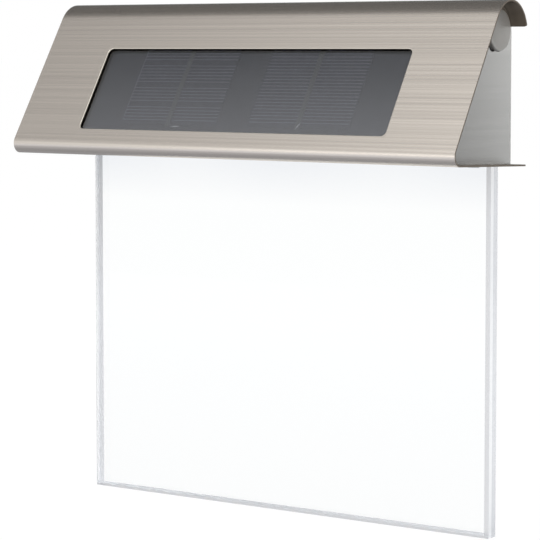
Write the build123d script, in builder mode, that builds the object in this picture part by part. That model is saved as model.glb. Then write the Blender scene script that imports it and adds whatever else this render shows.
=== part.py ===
from build123d import *
import os
from math import cos, pi, radians, sin, sqrt, tan

os.makedirs("parts", exist_ok=True)

# Solar sign light for a wall. X runs along the hood, +Y points into the wall and +Z up, all in mm.
# The wall is the plane Y = 0. The origin lies on it, midway between the two keyholes.

# --- Driving dimensions of the sheet-metal housing ---
hood_length = 260.0
sheet = 0.8  # thickness of the stainless sheet
crest_height = 44.8  # top of the curl above the keyholes
curl_radius = 16.0  # outside of the curl
curl_end_angle = 13.0  # the curl stops this many degrees above its own centre, at the wall
front_tilt = 32.6  # slope of the front, from the vertical
foot_radius = 5.0  # outside of the bend between the front and the floor
floor_slope = 2.0  # the floor drains towards the wall
floor_drop = 34.0  # underside of the floor at the wall, below the keyholes
tip_corner = 1.5  # rounded sheet corners
end_inset = 8.0  # from the hood's end to the end plate's outer face
plate_gap = 0.2  # between an end plate's edge and the inside of the front and the curl
fold_radius = 1.6  # outside of the fold between the back plate and an end plate
fold_top = 26.0  # the fold stops here, and the end plate's edge leans in under the curl
back_top = 31.9  # top edge of the back plate, just under the curl's tip
tab_width = 9.0  # floor tabs folded in from the end plates and the back plate
collar_radius = 2.6  # drawn collars in the tabs, tapped for the hood screws
collar_height = 2.0

# --- Wall fixing ---
keyhole_spacing = 160.0
keyhole_radius = 4.5
keyhole_slot_width = 4.6
keyhole_rise = 8.0

# --- Window and solar panel ---
window_side = 39.5  # from the hood's end to the window
window_height = 47.8
window_corner = 2.8
window_rise = 32.9  # centre of the window, up the slope from the height window_base
window_base = -26.0
gasket_thickness = 0.6
pane_margin = 4.0
pane_thickness = 2.0
cell_width = 59.0
cell_height = 44.0
cell_thickness = 0.3
cell_spacing = 77.0  # centre to centre
cell_shift_x = 0.2
cell_shift_y = 2.8
cell_clearance = 0.2  # between the cells and the pane
ribbon_width = 3.0
ribbon_thickness = 0.1
board_thickness = 1.2  # board that carries the cells
tray_wall = 1.6
tray_fit = 0.3
ear_width = 11.0
ear_height = 12.0
ear_offset = 14.0  # ears above and below the middle of the window
ear_thickness = 2.0
ear_lift = 0.3  # between an ear and the hood
ear_overlap = 0.5  # of an ear with the tray's rim
board_margin = 1.2  # the cell board's edge past the window
gasket_margin = 0.2  # the gasket's opening past the window
ribbon_drop = 1.0  # the ribbons run off the cells' lower edge
panel_wire_offset = -38.0  # the panel's two wires, from the middle of the control board
panel_wire_rise = 10.0  # straight stretch behind the panel
wire_window_width = 10.0  # opening in the tray for them
wire_window_height = 14.0
ear_corner = 2.0
tray_corner = 3.0
tray_edge = 0.8

# --- Threads, studs and nuts ---
m3_radius = 1.5
m3_hole = 1.7
m3_nut_flats = 5.5
m3_nut_height = 2.4
m4_radius = 2.0
m4_hole = 2.2
m4_nut_flats = 7.0
m4_nut_height = 2.2  # thin nut
nut_fit = 0.05  # a nut's bore over its stud
stud_spare = 0.8  # a stud's length past its nut

# --- Clear plate ---
plate_side_gap = 1.8  # between the plate and an end plate
plate_thickness = 10.0
plate_bottom = -212.2
plate_top = -14.0
plate_back = 7.4  # rear face of the plate, in front of the wall
plate_bevel = 0.9  # flame-polished edges
slot_margin = 0.6
seal_thickness = 1.2  # rubber frame round the plate
seal_front = -23.0
seal_fit = 0.05
seal_end_gap = 0.2  # to the end plates
seal_rear_gap = 0.15  # to the rear tabs' collars
pad_thickness = 0.8
pad_fit = 0.02
pad_foot_gap = 1.0  # above the channel's lower edge
pad_top_gap = 1.5  # below the plate's upper edge
clamp_inset = 11.4  # from the plate's edge to the first clamp screw
clamp_height = -22.0
clamp_screw_length = 18.0
clamp_head_radius = 3.6
clamp_head_height = 2.4
cross_width = 0.9  # cross recess
cross_depth = 1.4

# --- Light rail over the plate's top edge ---
rail_wall = 1.5
rail_foot = -29.0
led_gap = 0.6
led_height = 1.6
led_length = 5.0
led_width = 3.5
led_board_thickness = 1.6
led_board_inset = 6.4  # from the plate's edge
led_board_width = 8.0
led_screw_inset = 24.0  # from the light board's end
led_screw_head_height = 1.1
led_well = 0.4  # depth of the well in a LED's face
led_well_rim = 0.5
rail_tab_width = 18.0
rail_tab_top = 6.0
rail_stud_height = 1.0

# --- Battery drawer ---
battery_y = -14.5
battery_z = 30.6
tube_radius = 11.5
tube_bore = 9.55
mouth_bore = 10.15
mouth_depth = 3.2
tail_room = 6.2  # between the cell's tail and the tube's end wall, for the contacts
tube_end_wall = 2.0
plug_radius = 10.0
plug_proud = 1.6
plug_dome = 1.0
plug_seat_gap = 0.1
plug_neck_radius = 9.4
plug_neck_length = 8.0
ring_radius = 0.9
ring_centre_radius = 8.6
ring_groove_width = 2.2
ring_groove_radius = 7.6
plug_hole_gap = 0.25  # between the plug and the end plate
nail_notch_radius = 4.0
nail_notch_depth = 2.2  # past the plug's edge
nail_notch_angle = 229.0
cell_radius_aa = 7.25
cell_length_aa = 50.5
cell_nub_radius = 2.75
cell_nub_length = 1.3
cell_edge = 0.6
cradle_radius = 9.2
cradle_bore = 7.4
cradle_lip = 1.0
cradle_lip_width = 2.0
cradle_rise = 2.3  # the trough's rims stand this far above the battery's axis
contact_thickness = 0.4
contact_width = 5.0
contact_bend = 0.5  # bends along the middle of the strip
contact_clearance = 0.05
bow_foot = 3.0  # the tail contact's bow: its bends, below and above the battery's axis
bow_lower = 1.0
bow_upper = 2.0
bow_tip = 3.0
bow_return = 2.0  # its tip leans back from the cell
solder_tail = 4.0  # contacts' tails outside the tube
side_contact_rise = 1.2  # above the bottom of the cradle
strip_fit = 0.2
strip_face_margin = 1.0  # of the strip's round face past the cell's nub
strip_rise = 0.7  # outer face of the drawer's strip, above the bottom of the cradle
tube_ear_width = 12.0
tube_ear_thickness = 2.5
tube_ear_end = 4.0  # from the studs' middle to the ears' lower end
tube_nut_room = 0.4  # over a nut's corner, below the ears' shoulder
tube_stud_height = 12.5
tube_stud_right_inset = 14.0  # from the end plate
tube_stud_spacing = 48.0

# --- Electronics on the floor ---
control_inset = 22.0  # from the right end plate to the board's end
control_y = -39.0  # along the floor, from the wall
control_length = 80.0
control_width = 28.0
control_thickness = 1.6
control_corner = 1.5
standoff_height = 6.0
standoff_radius = 2.6
standoff_spigot = 2.1
standoff_bore = 1.3
standoff_inset_x = 5.0  # from the board's edges
standoff_inset_y = 4.0
board_screw_radius = 1.25
board_screw_length = 6.0
board_screw_head = 2.2
board_screw_head_height = 1.5
board_screw_edge = 0.7
board_screw_fit = 0.15
switch_offset = 15.0  # from the middle of the board
switch_y = -31.0
switch_length = 10.0
switch_width = 4.4
switch_height = 4.0
knob_length = 3.0
knob_width = 2.4
knob_travel = 3.0
knob_gap = 0.3
knob_proud = 0.8
knob_root = 1.0  # how far the knob reaches into the switch
hood_screw_inset = 5.6  # from the end plate
hood_screw_front = -27.5
hood_screw_rear = -3.4
hood_screw_rear_x = 60.0
hood_screw_head = 2.75
hood_screw_head_height = 0.9
key_flats = 2.0  # hexagon recess in a hood screw
key_depth = 0.6
edge_break = 0.3
wire_radius = 0.7
wire_pitch = 5.0
chip_length = 5.0
chip_width = 4.0
chip_height = 1.6
core_radius = 4.0  # drum core of the inductor
core_waist = 2.6
core_flange = 1.2
core_height = 5.0
capacitor_radius = 3.15
capacitor_height = 7.0
capacitor_edge = 0.5
socket_height = 5.0
socket_width = 5.0
socket_offset = -20.0  # two of the sockets, from the middle of the board
battery_socket_offset = -4.0
led_socket_depth = 9.0
panel_socket_depth = 1.0
battery_socket_depth = 8.0
chip_offset = 8.0
coil_offset = 19.0
coil_depth = -5.0
capacitor_offset = 20.0
capacitor_depth = 6.0
socket_lead = 9.0  # straight stretch of a wire above its socket
lead_spread = 1.0  # the battery's stretch is longer than that, the light's two runs shorter
tail_length = 10.0  # of a battery wire, before it turns down
tail_offset = 4.0  # the second of them turns further on
tail_lean = 2.0
tail_forward = 4.0
tail_fall = 14.0
rail_lead = 11.0  # the light's wires above the channel
rail_lead_end = 9.0
rail_forward = 6.0  # in front of the plate
wire_hole_gap = 0.5

# --- Worked out from the sizes above ---
end_plate_x = hood_length / 2 - end_inset  # outer face of an end plate
curl_centre = Vector(-curl_radius, crest_height - curl_radius)
tilt = radians(front_tilt)
slope = radians(floor_slope)
window_width = hood_length - 2 * window_side
plate_width = 2 * (end_plate_x - sheet - plate_side_gap)
clamp_spacing = plate_width / 2 - clamp_inset
led_spacing = plate_width / 2  # the two LEDs stand over the plate's quarter points
led_board_length = plate_width - 2 * led_board_inset
led_screw_spacing = led_board_length - 2 * led_screw_inset
hood_screw_x = end_plate_x - hood_screw_inset
control_x = end_plate_x - control_inset - control_length / 2  # middle of the control board
standoff_x = control_length / 2 - standoff_inset_x
standoff_y = control_width / 2 - standoff_inset_y
switch_x = control_x + switch_offset
panel_wire_x = control_x + panel_wire_offset
tube_stud_right = end_plate_x - tube_stud_right_inset
tube_stud_left = tube_stud_right - tube_stud_spacing
plate_front_y = -plate_back - plate_thickness
plate_middle_y = -plate_back - plate_thickness / 2


def foot_corner(front_inset, floor_inset):
    """Where the front and the floor would meet, each moved in from the hood's outer skin."""
    front_start = curl_centre + Vector(-cos(tilt), sin(tilt)) * (curl_radius - front_inset)
    front_run = Vector(-sin(tilt), -cos(tilt))
    floor_start = Vector(0, -floor_drop + floor_inset / cos(slope))
    floor_run = Vector(-cos(slope), sin(slope))
    between = floor_start - front_start
    along = (between.X * floor_run.Y - between.Y * floor_run.X) / (
        front_run.X * floor_run.Y - front_run.Y * floor_run.X
    )
    return front_start + front_run * along


def floor_height(y, inset):
    """Height of the floor, moved up from its underside, at a place in front of the wall."""
    return -floor_drop + inset / cos(slope) - y * tan(slope)


def across_flats(flats):
    """Corner radius of a hexagon with this width across its flats."""
    return flats / sqrt(3)


def polar(centre, radius, angle):
    return centre + Vector(cos(radians(angle)), sin(radians(angle))) * radius


# Planes that the pieces stand on. On each, local x is the row's X.
section = Plane.YZ
front_middle = polar(curl_centre, curl_radius, 180 - front_tilt)
front_middle = front_middle + Vector(-sin(tilt), -cos(tilt)) * (
    (front_middle.Y - window_base) / cos(tilt) - window_rise
)
front = Plane(
    origin=(0, front_middle.X, front_middle.Y),
    x_dir=(1, 0, 0),
    z_dir=(0, -cos(tilt), sin(tilt)),
)
floor = Plane(origin=(0, 0, -floor_drop), x_dir=(1, 0, 0), z_dir=(0, sin(slope), cos(slope)))
inside_front = front.offset(-sheet)
inside_floor = floor.offset(sheet)
back = Plane(origin=(0, 0, 0), x_dir=(1, 0, 0), z_dir=(0, -1, 0))  # local y is Z, out of the wall
inside_back = back.offset(sheet)
battery_axis = Plane(origin=(0, battery_y, battery_z), x_dir=(0, 1, 0), z_dir=(1, 0, 0))

# Depths behind the inside of the front, through the solar panel.
pane_top = gasket_thickness
pane_back = pane_top + pane_thickness
cells_top = pane_back + cell_clearance
cell_board_top = cells_top + cell_thickness
cell_board_back = cell_board_top + board_thickness
tray_back = cell_board_back + tray_wall
pane_width = window_width + 2 * pane_margin
pane_height = window_height + 2 * pane_margin
cell_board_width = window_width + 2 * board_margin
cell_board_height = window_height + 2 * board_margin
ear_x = pane_width / 2 + tray_fit + tray_wall + ear_width / 2 - ear_overlap

# ---------------------------------------------------------------- housing
hood_screw_places = [
    (-hood_screw_x, hood_screw_front),
    (hood_screw_x, hood_screw_front),
    (-hood_screw_rear_x, hood_screw_rear),
    (hood_screw_rear_x, hood_screw_rear),
]
standoff_places = [
    (control_x + side * standoff_x, control_y + depth * standoff_y)
    for side in (-1, 1)
    for depth in (-1, 1)
]
ear_places = [(side * ear_x, level * ear_offset) for side in (-1, 1) for level in (-1, 1)]

with BuildPart() as hood:
    # One bent sheet: curl, sloped front, foot bend and floor.
    with BuildSketch(section) as hood_section:
        with BuildLine():
            outer_curl = CenterArc(
                curl_centre, curl_radius, curl_end_angle, 180 - front_tilt - curl_end_angle
            )
            outer_skin = Polyline(
                outer_curl @ 1, foot_corner(0, 0), Vector(0, -floor_drop)
            )
            rear_edge = Line(outer_skin @ 1, Vector(0, floor_height(0, sheet)))
            inner_skin = Polyline(
                rear_edge @ 1,
                foot_corner(sheet, sheet),
                polar(curl_centre, curl_radius - sheet, 180 - front_tilt),
            )
            inner_curl = CenterArc(
                curl_centre,
                curl_radius - sheet,
                180 - front_tilt,
                curl_end_angle + front_tilt - 180,
            )
            Line(inner_curl @ 1, outer_curl @ 0)
        make_face()
        corners = hood_section.vertices().sort_by(Axis.X)
        fillet(corners[0], foot_radius)
        corners = hood_section.vertices().sort_by_distance(foot_corner(sheet, sheet))
        fillet(corners[0], foot_radius - sheet)
    extrude(amount=hood_length / 2, both=True)
    # Rounded corners at the curl's tip and at the floor's rear edge.
    sheet_edges = hood.edges().filter_by(
        lambda edge: abs(edge.length - sheet) < 0.01 and abs(edge.center().X) > hood_length / 2 - 0.1
    )
    fillet(sheet_edges.sort_by(Axis.Y)[-4:], tip_corner)
    # Window for the solar panel.
    with BuildSketch(front):
        RectangleRounded(window_width, window_height, window_corner)
    extrude(amount=-2 * sheet, mode=Mode.SUBTRACT)
    # Slot for the clear plate, cut straight down.
    with BuildSketch(Plane.XY.offset(-floor_drop)):
        with Locations((0, plate_middle_y)):
            Rectangle(plate_width + 2 * slot_margin, plate_thickness + 2 * slot_margin)
    extrude(amount=5 * sheet, both=True, mode=Mode.SUBTRACT)
    # Holes in the floor for the hood screws, the board's standoffs and the switch knob.
    with BuildSketch(floor):
        with Locations(*hood_screw_places):
            Circle(m3_hole)
        with Locations(*standoff_places):
            Circle(standoff_spigot)
        with Locations((switch_x, switch_y)):
            Rectangle(knob_length + knob_travel + 2 * knob_gap, knob_width + 2 * knob_gap)
    extrude(amount=2 * sheet, mode=Mode.SUBTRACT)
    # Weld studs for the panel tray.
    with BuildSketch(inside_front):
        with Locations(*ear_places):
            Circle(m3_radius)
    extrude(amount=-(ear_lift + ear_thickness + m3_nut_height + stud_spare))
hood.part.label = "hood"
export_step(hood.part, "parts/hood.step")

with BuildPart() as back_chassis:
    # Back plate and two end plates, folded from one sheet: a channel seen from above.
    with BuildSketch(Plane.XY.offset(-floor_drop)):
        with BuildLine():
            fold_outside = FilletPolyline(
                (-end_plate_x, -2 * hood_length),
                (-end_plate_x, 0),
                (end_plate_x, 0),
                (end_plate_x, -2 * hood_length),
                radius=fold_radius,
            )
            fold_inside = FilletPolyline(
                (-end_plate_x + sheet, -2 * hood_length),
                (-end_plate_x + sheet, -sheet),
                (end_plate_x - sheet, -sheet),
                (end_plate_x - sheet, -2 * hood_length),
                radius=fold_radius - sheet,
            )
            Line(fold_outside @ 0, fold_inside @ 0)
            Line(fold_outside @ 1, fold_inside @ 1)
        make_face()
    extrude(amount=floor_drop + crest_height)
    # Trimmed to the inside of the hood, leaning in under the curl above the fold.
    with BuildSketch(section) as end_outline:
        with BuildLine():
            rim = CenterArc(
                curl_centre,
                curl_radius - sheet - plate_gap,
                curl_end_angle + 1,
                180 - front_tilt - curl_end_angle - 1,
            )
            Polyline(
                rim @ 1,
                foot_corner(sheet + plate_gap, sheet),
                Vector(0, floor_height(0, sheet)),
                Vector(0, fold_top),
                rim @ 0,
            )
        make_face()
        foot = end_outline.vertices().sort_by(Axis.X)[0]
        fillet(foot, foot_radius)
    extrude(amount=end_plate_x, both=True, mode=Mode.INTERSECT)
    # Between the end plates the back plate rises to just under the curl's tip.
    with BuildSketch(back):
        with Locations((0, fold_top - sheet)):
            Rectangle(
                2 * (end_plate_x - 3 * sheet),
                back_top - fold_top + sheet,
                align=(Align.CENTER, Align.MIN),
            )
    extrude(amount=sheet)
    # Floor tabs with drawn collars, one at each end and two behind the plate.
    with BuildSketch(inside_floor):
        for side in (-1, 1):
            with Locations((side * (end_plate_x - sheet / 2), hood_screw_front)):
                Rectangle(
                    tab_width + sheet / 2,
                    tab_width,
                    align=(Align.MAX if side > 0 else Align.MIN, Align.CENTER),
                )
            with Locations((side * hood_screw_rear_x, -sheet / 2)):
                Rectangle(
                    2 * tab_width,
                    -2 * hood_screw_rear - 2 * sheet,
                    align=(Align.CENTER, Align.MAX),
                )
    extrude(amount=sheet)
    with BuildSketch(inside_floor):
        with Locations(*hood_screw_places):
            Circle(collar_radius)
    extrude(amount=sheet + collar_height)
    with BuildSketch(inside_floor):
        with Locations(*hood_screw_places):
            Circle(m3_radius)
    extrude(amount=2 * sheet + collar_height, mode=Mode.SUBTRACT)
    # Keyholes for two wall screws.
    with BuildSketch(back):
        for side in (-1, 1):
            with Locations((side * keyhole_spacing / 2, 0)):
                Circle(keyhole_radius)
            with Locations((side * keyhole_spacing / 2, keyhole_rise / 2)):
                SlotCenterToCenter(keyhole_rise, keyhole_slot_width, rotation=90)
    extrude(amount=2 * sheet, both=True, mode=Mode.SUBTRACT)
    # Right end plate: hole for the battery plug, with a nail notch at its lower front.
    with BuildSketch(battery_axis.offset(end_plate_x - 2 * sheet)):
        Circle(plug_radius + plug_hole_gap)
        notch_reach = plug_radius + nail_notch_depth - nail_notch_radius
        with Locations(polar(Vector(0, 0), notch_reach, nail_notch_angle)):
            Circle(nail_notch_radius)
    extrude(amount=4 * sheet, mode=Mode.SUBTRACT)
    # Weld studs for the light rail and the battery tube.
    with BuildSketch(inside_back):
        with Locations(*[(side * clamp_spacing, rail_stud_height) for side in (-1, 0, 1)]):
            Circle(m3_radius)
    extrude(amount=rail_wall + m3_nut_height + stud_spare)
    with BuildSketch(inside_back):
        with Locations((tube_stud_left, tube_stud_height), (tube_stud_right, tube_stud_height)):
            Circle(m3_radius)
    extrude(amount=tube_ear_thickness + m3_nut_height + stud_spare)
back_chassis.part.label = "back_chassis"
export_step(back_chassis.part, "parts/back_chassis.step")

with BuildPart() as hood_screws:
    # Wafer-head screws up through the floor into the chassis tabs.
    with BuildSketch(floor):
        with Locations(*hood_screw_places):
            Circle(hood_screw_head)
    extrude(amount=-hood_screw_head_height)
    chamfer(hood_screws.faces().filter_by(floor).group_by(Axis.Z)[0].edges(), edge_break)
    with BuildSketch(floor):
        with Locations(*hood_screw_places):
            Circle(m3_radius - nut_fit)
    extrude(amount=2 * sheet + collar_height)
    with BuildSketch(floor.offset(-hood_screw_head_height)):
        with Locations(*hood_screw_places):
            RegularPolygon(across_flats(key_flats), 6)
    extrude(amount=key_depth, mode=Mode.SUBTRACT)
hood_screws.part.label = "hood_screws"
export_step(hood_screws.part, "parts/hood_screws.step")

# ---------------------------------------------------------------- solar panel
with BuildPart() as pane_gasket:
    with BuildSketch(inside_front):
        Rectangle(pane_width, pane_height)
        RectangleRounded(
            window_width + 2 * gasket_margin,
            window_height + 2 * gasket_margin,
            window_corner,
            mode=Mode.SUBTRACT,
        )
    extrude(amount=-gasket_thickness)
pane_gasket.part.label = "pane_gasket"
export_step(pane_gasket.part, "parts/pane_gasket.step")

with BuildPart() as solar_pane:
    with BuildSketch(inside_front.offset(-pane_top)):
        Rectangle(pane_width, pane_height)
    extrude(amount=-pane_thickness)
solar_pane.part.label = "solar_pane"
export_step(solar_pane.part, "parts/solar_pane.step")

for side, cell_name in ((-1, "solar_cell_left"), (1, "solar_cell_right")):
    cell_place = (cell_shift_x + side * cell_spacing / 2, cell_shift_y)
    with BuildPart() as solar_cell:
        with BuildSketch(inside_front.offset(-cells_top)):
            with Locations(cell_place):
                Rectangle(cell_width, cell_height)
        extrude(amount=-cell_thickness)
    solar_cell.part.label = cell_name
    export_step(solar_cell.part, f"parts/{cell_name}.step")

with BuildPart() as cell_ribbons:
    # One flat tinned ribbon down the middle of each cell, folded over the cell's lower edge.
    with BuildSketch(inside_front.offset(-cells_top)):
        for side in (-1, 1):
            with Locations((cell_shift_x + side * cell_spacing / 2, cell_shift_y - ribbon_drop)):
                Rectangle(ribbon_width, cell_height)
    extrude(amount=ribbon_thickness)
cell_ribbons.part.label = "cell_ribbons"
export_step(cell_ribbons.part, "parts/cell_ribbons.step")

with BuildPart() as cell_board:
    with BuildSketch(inside_front.offset(-cell_board_top)):
        Rectangle(cell_board_width, cell_board_height)
    extrude(amount=-board_thickness)
cell_board.part.label = "cell_board"
export_step(cell_board.part, "parts/cell_board.step")

with BuildPart() as panel_tray:
    # Moulded tray: a rim round the pane, a ledge that presses it home, and a back behind the board.
    with BuildSketch(inside_front.offset(-ear_lift)):
        RectangleRounded(
            pane_width + 2 * (tray_fit + tray_wall),
            pane_height + 2 * (tray_fit + tray_wall),
            tray_corner,
        )
    extrude(amount=-(tray_back - ear_lift))
    tray_rear_edges = panel_tray.faces().filter_by(front).sort_by(Axis.Y)[-1].edges()
    chamfer(tray_rear_edges, tray_edge)
    with BuildSketch(inside_front):
        Rectangle(pane_width + 2 * tray_fit, pane_height + 2 * tray_fit)
    extrude(amount=-pane_back, mode=Mode.SUBTRACT)
    with BuildSketch(inside_front):
        Rectangle(cell_board_width + 2 * tray_fit, cell_board_height + 2 * tray_fit)
    extrude(amount=-cell_board_back, mode=Mode.SUBTRACT)
    # Opening in the back for the panel's two wires.
    with BuildSketch(inside_front):
        with Locations((panel_wire_x, 0)):
            RectangleRounded(wire_window_width, wire_window_height, ear_corner)
    extrude(amount=-(tray_back + tray_wall), mode=Mode.SUBTRACT)
    # Four ears on the hood's studs.
    with BuildSketch(inside_front.offset(-ear_lift)):
        with Locations(*ear_places):
            RectangleRounded(ear_width, ear_height, ear_corner)
    extrude(amount=-ear_thickness)
    with BuildSketch(inside_front):
        with Locations(*ear_places):
            Circle(m3_hole)
        Rectangle(pane_width + 2 * tray_fit, pane_height + 2 * tray_fit)
    extrude(amount=-(ear_lift + ear_thickness), mode=Mode.SUBTRACT)
panel_tray.part.label = "panel_tray"
export_step(panel_tray.part, "parts/panel_tray.step")

with BuildPart() as panel_nuts:
    with BuildSketch(inside_front.offset(-ear_lift - ear_thickness)):
        with Locations(*ear_places):
            RegularPolygon(across_flats(m3_nut_flats), 6)
            Circle(m3_radius + nut_fit, mode=Mode.SUBTRACT)
    extrude(amount=-m3_nut_height)
panel_nuts.part.label = "panel_nuts"
export_step(panel_nuts.part, "parts/panel_nuts.step")

# ---------------------------------------------------------------- battery drawer
mouth_x = end_plate_x - sheet  # the tube's mouth butts against the end plate
seat_x = mouth_x - mouth_depth
plug_face_x = end_plate_x + plug_proud
plug_back_x = seat_x + plug_seat_gap - plug_neck_length
cell_front_x = plug_back_x - contact_thickness
cell_tail_x = cell_front_x - cell_length_aa
tube_floor_x = cell_tail_x - tail_room
tube_end_x = tube_floor_x - tube_end_wall
tube_length = mouth_x - tube_end_x
cradle_end_x = cell_tail_x - contact_clearance - cradle_lip
tail_bump_x = cell_tail_x - contact_clearance

with BuildPart() as battery_tube:
    with BuildSketch(battery_axis.offset(tube_end_x)):
        Circle(tube_radius)
    extrude(amount=tube_length)
    # Two ears that bolt to the back plate.
    for stud_x in (tube_stud_left, tube_stud_right):
        with BuildSketch(section.offset(stud_x)):
            with BuildLine():
                ear_face = -sheet
                ear_front = ear_face - tube_ear_thickness
                ear_foot = tube_stud_height - tube_ear_end
                ear_shoulder = tube_stud_height + across_flats(m3_nut_flats) + tube_nut_room
                Polyline(
                    (ear_face, ear_foot),
                    (ear_face, battery_z),
                    (battery_y + tube_radius / 2, battery_z),
                    (battery_y + tube_radius / 2, battery_z - tube_radius),
                    (ear_front, ear_shoulder),
                    (ear_front, ear_foot),
                    close=True,
                )
            make_face()
        extrude(amount=tube_ear_width / 2, both=True)
    with BuildSketch(battery_axis.offset(tube_floor_x)):
        Circle(tube_bore)
    extrude(amount=tube_length, mode=Mode.SUBTRACT)
    with BuildSketch(battery_axis.offset(seat_x)):
        Circle(mouth_bore)
    extrude(amount=tube_length, mode=Mode.SUBTRACT)
    with BuildSketch(inside_back):
        with Locations((tube_stud_left, tube_stud_height), (tube_stud_right, tube_stud_height)):
            Circle(m3_hole)
    extrude(amount=2 * tube_ear_thickness, mode=Mode.SUBTRACT)
    # Slits in the end wall for the two contacts' solder tails.
    with BuildSketch(battery_axis.offset(tube_end_x)):
        for drop in (contact_width, -cradle_radius + side_contact_rise):
            with Locations((0, drop)):
                Rectangle(contact_width + strip_fit, contact_thickness + 2 * contact_bend)
    extrude(amount=tube_end_wall, mode=Mode.SUBTRACT)
battery_tube.part.label = "battery_tube"
export_step(battery_tube.part, "parts/battery_tube.step")

with BuildPart() as tube_nuts:
    with BuildSketch(inside_back.offset(tube_ear_thickness)):
        with Locations((tube_stud_left, tube_stud_height), (tube_stud_right, tube_stud_height)):
            RegularPolygon(across_flats(m3_nut_flats), 6)
            Circle(m3_radius + nut_fit, mode=Mode.SUBTRACT)
    extrude(amount=m3_nut_height)
tube_nuts.part.label = "tube_nuts"
export_step(tube_nuts.part, "parts/tube_nuts.step")

solder_x = tube_end_x - solder_tail  # where the battery's wires are soldered on
with BuildPart() as tail_contact:
    # Bent strip: solder tail through the end wall, base on it, and a sprung bow to the cell.
    with BuildSketch(Plane.XZ.offset(-battery_y)):
        with BuildLine() as bow:
            base_x = tube_floor_x + contact_thickness / 2
            FilletPolyline(
                (solder_x + contact_thickness / 2, battery_z + contact_width),
                (base_x, battery_z + contact_width),
                (base_x, battery_z - bow_foot),
                (tail_bump_x - contact_thickness / 2, battery_z - bow_lower),
                (tail_bump_x - contact_thickness / 2, battery_z + bow_upper),
                (tail_bump_x - bow_return, battery_z + bow_tip),
                radius=contact_bend,
            )
            offset(bow.wire(), contact_thickness / 2)
        make_face()
    extrude(amount=contact_width / 2, both=True)
tail_contact.part.label = "tail_contact"
export_step(tail_contact.part, "parts/tail_contact.step")

side_contact_z = battery_z - cradle_radius + side_contact_rise
with BuildPart() as side_contact:
    # Straight strip that the drawer's own strip meets when the drawer is shut.
    with BuildSketch(Plane.XZ.offset(-battery_y)):
        with Locations((solder_x, side_contact_z)):
            Rectangle(
                cradle_end_x - contact_thickness - contact_clearance - solder_x,
                contact_thickness,
                align=(Align.MIN, Align.CENTER),
            )
    extrude(amount=contact_width / 2, both=True)
side_contact.part.label = "side_contact"
export_step(side_contact.part, "parts/side_contact.step")

with BuildPart() as battery_plug:
    with BuildSketch(Plane.XZ.offset(-battery_y)):
        with BuildLine():
            Polyline(
                (plug_face_x, battery_z),
                (plug_face_x, battery_z + plug_radius),
                (seat_x + plug_seat_gap, battery_z + plug_radius),
                (seat_x + plug_seat_gap, battery_z + plug_neck_radius),
                (plug_back_x, battery_z + plug_neck_radius),
                (plug_back_x, battery_z),
                close=True,
            )
        make_face()
        with Locations((seat_x - plug_neck_length / 2, battery_z + plug_neck_radius)):
            Rectangle(
                ring_groove_width,
                2 * (plug_neck_radius - ring_groove_radius),
                mode=Mode.SUBTRACT,
            )
    revolve(axis=Axis((0, battery_y, battery_z), (1, 0, 0)))
    fillet(battery_plug.edges().sort_by(Axis.X)[-1], plug_dome)
battery_plug.part.label = "battery_plug"
export_step(battery_plug.part, "parts/battery_plug.step")

with BuildPart() as plug_o_ring:
    with BuildSketch(Plane.XZ.offset(-battery_y)):
        with Locations((seat_x - plug_neck_length / 2, battery_z + ring_centre_radius)):
            Circle(ring_radius)
    revolve(axis=Axis((0, battery_y, battery_z), (1, 0, 0)))
plug_o_ring.part.label = "plug_o_ring"
export_step(plug_o_ring.part, "parts/plug_o_ring.step")

with BuildPart() as cell_cradle:
    # Half-round trough behind the plug, with a low lip at its far end.
    with BuildSketch(battery_axis.offset(cradle_end_x)):
        Circle(cradle_radius)
        with Locations((0, cradle_rise)):
            Rectangle(
                3 * cradle_radius,
                2 * cradle_radius,
                align=(Align.CENTER, Align.MIN),
                mode=Mode.SUBTRACT,
            )
    extrude(amount=plug_back_x - cradle_end_x)
    with BuildSketch(battery_axis.offset(cradle_end_x + cradle_lip)):
        Circle(cradle_bore)
    extrude(amount=cell_length_aa * 2, mode=Mode.SUBTRACT)
    with BuildSketch(battery_axis.offset(cradle_end_x)):
        Circle(cradle_bore - cradle_lip_width)
    extrude(amount=cradle_lip, mode=Mode.SUBTRACT)
    # Groove along the underside for the strip.
    with BuildSketch(battery_axis.offset(cradle_end_x)):
        with Locations((0, -cradle_radius)):
            Rectangle(contact_width + strip_fit, 2 * strip_rise)
    extrude(amount=plug_back_x - cradle_end_x, mode=Mode.SUBTRACT)
    # Slot through the floor of the trough, where the strip turns up in front of the plug.
    with BuildSketch(battery_axis.offset(cell_front_x - strip_fit)):
        with Locations((0, -cradle_radius)):
            Rectangle(contact_width + strip_fit, 2 * (cradle_radius - cradle_bore + strip_rise))
    extrude(amount=contact_thickness + strip_fit, mode=Mode.SUBTRACT)
cell_cradle.part.label = "cell_cradle"
export_step(cell_cradle.part, "parts/cell_cradle.step")

with BuildPart() as drawer_strip:
    # Strip from the plug's back, along the groove and round the trough's far end.
    strip_z = battery_z - cradle_radius + strip_rise
    with BuildSketch(Plane.XZ.offset(-battery_y)):
        with Locations((cradle_end_x - contact_thickness, strip_z)):
            Rectangle(
                plug_back_x - cradle_end_x + contact_thickness,
                contact_thickness,
                align=(Align.MIN, Align.MAX),
            )
            Rectangle(
                contact_thickness,
                2 * (side_contact_rise - strip_rise) + contact_thickness,
                align=(Align.MIN, Align.MIN),
            )
    extrude(amount=contact_width / 2, both=True)
    with BuildSketch(battery_axis.offset(cell_front_x)):
        Circle(cell_nub_radius + strip_face_margin)
    extrude(amount=contact_thickness)
    with BuildSketch(battery_axis.offset(cell_front_x)):
        with Locations((0, strip_z - contact_thickness - battery_z)):
            Rectangle(contact_width, battery_z - strip_z, align=(Align.CENTER, Align.MIN))
    extrude(amount=contact_thickness)
drawer_strip.part.label = "drawer_strip"
export_step(drawer_strip.part, "parts/drawer_strip.step")

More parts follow.
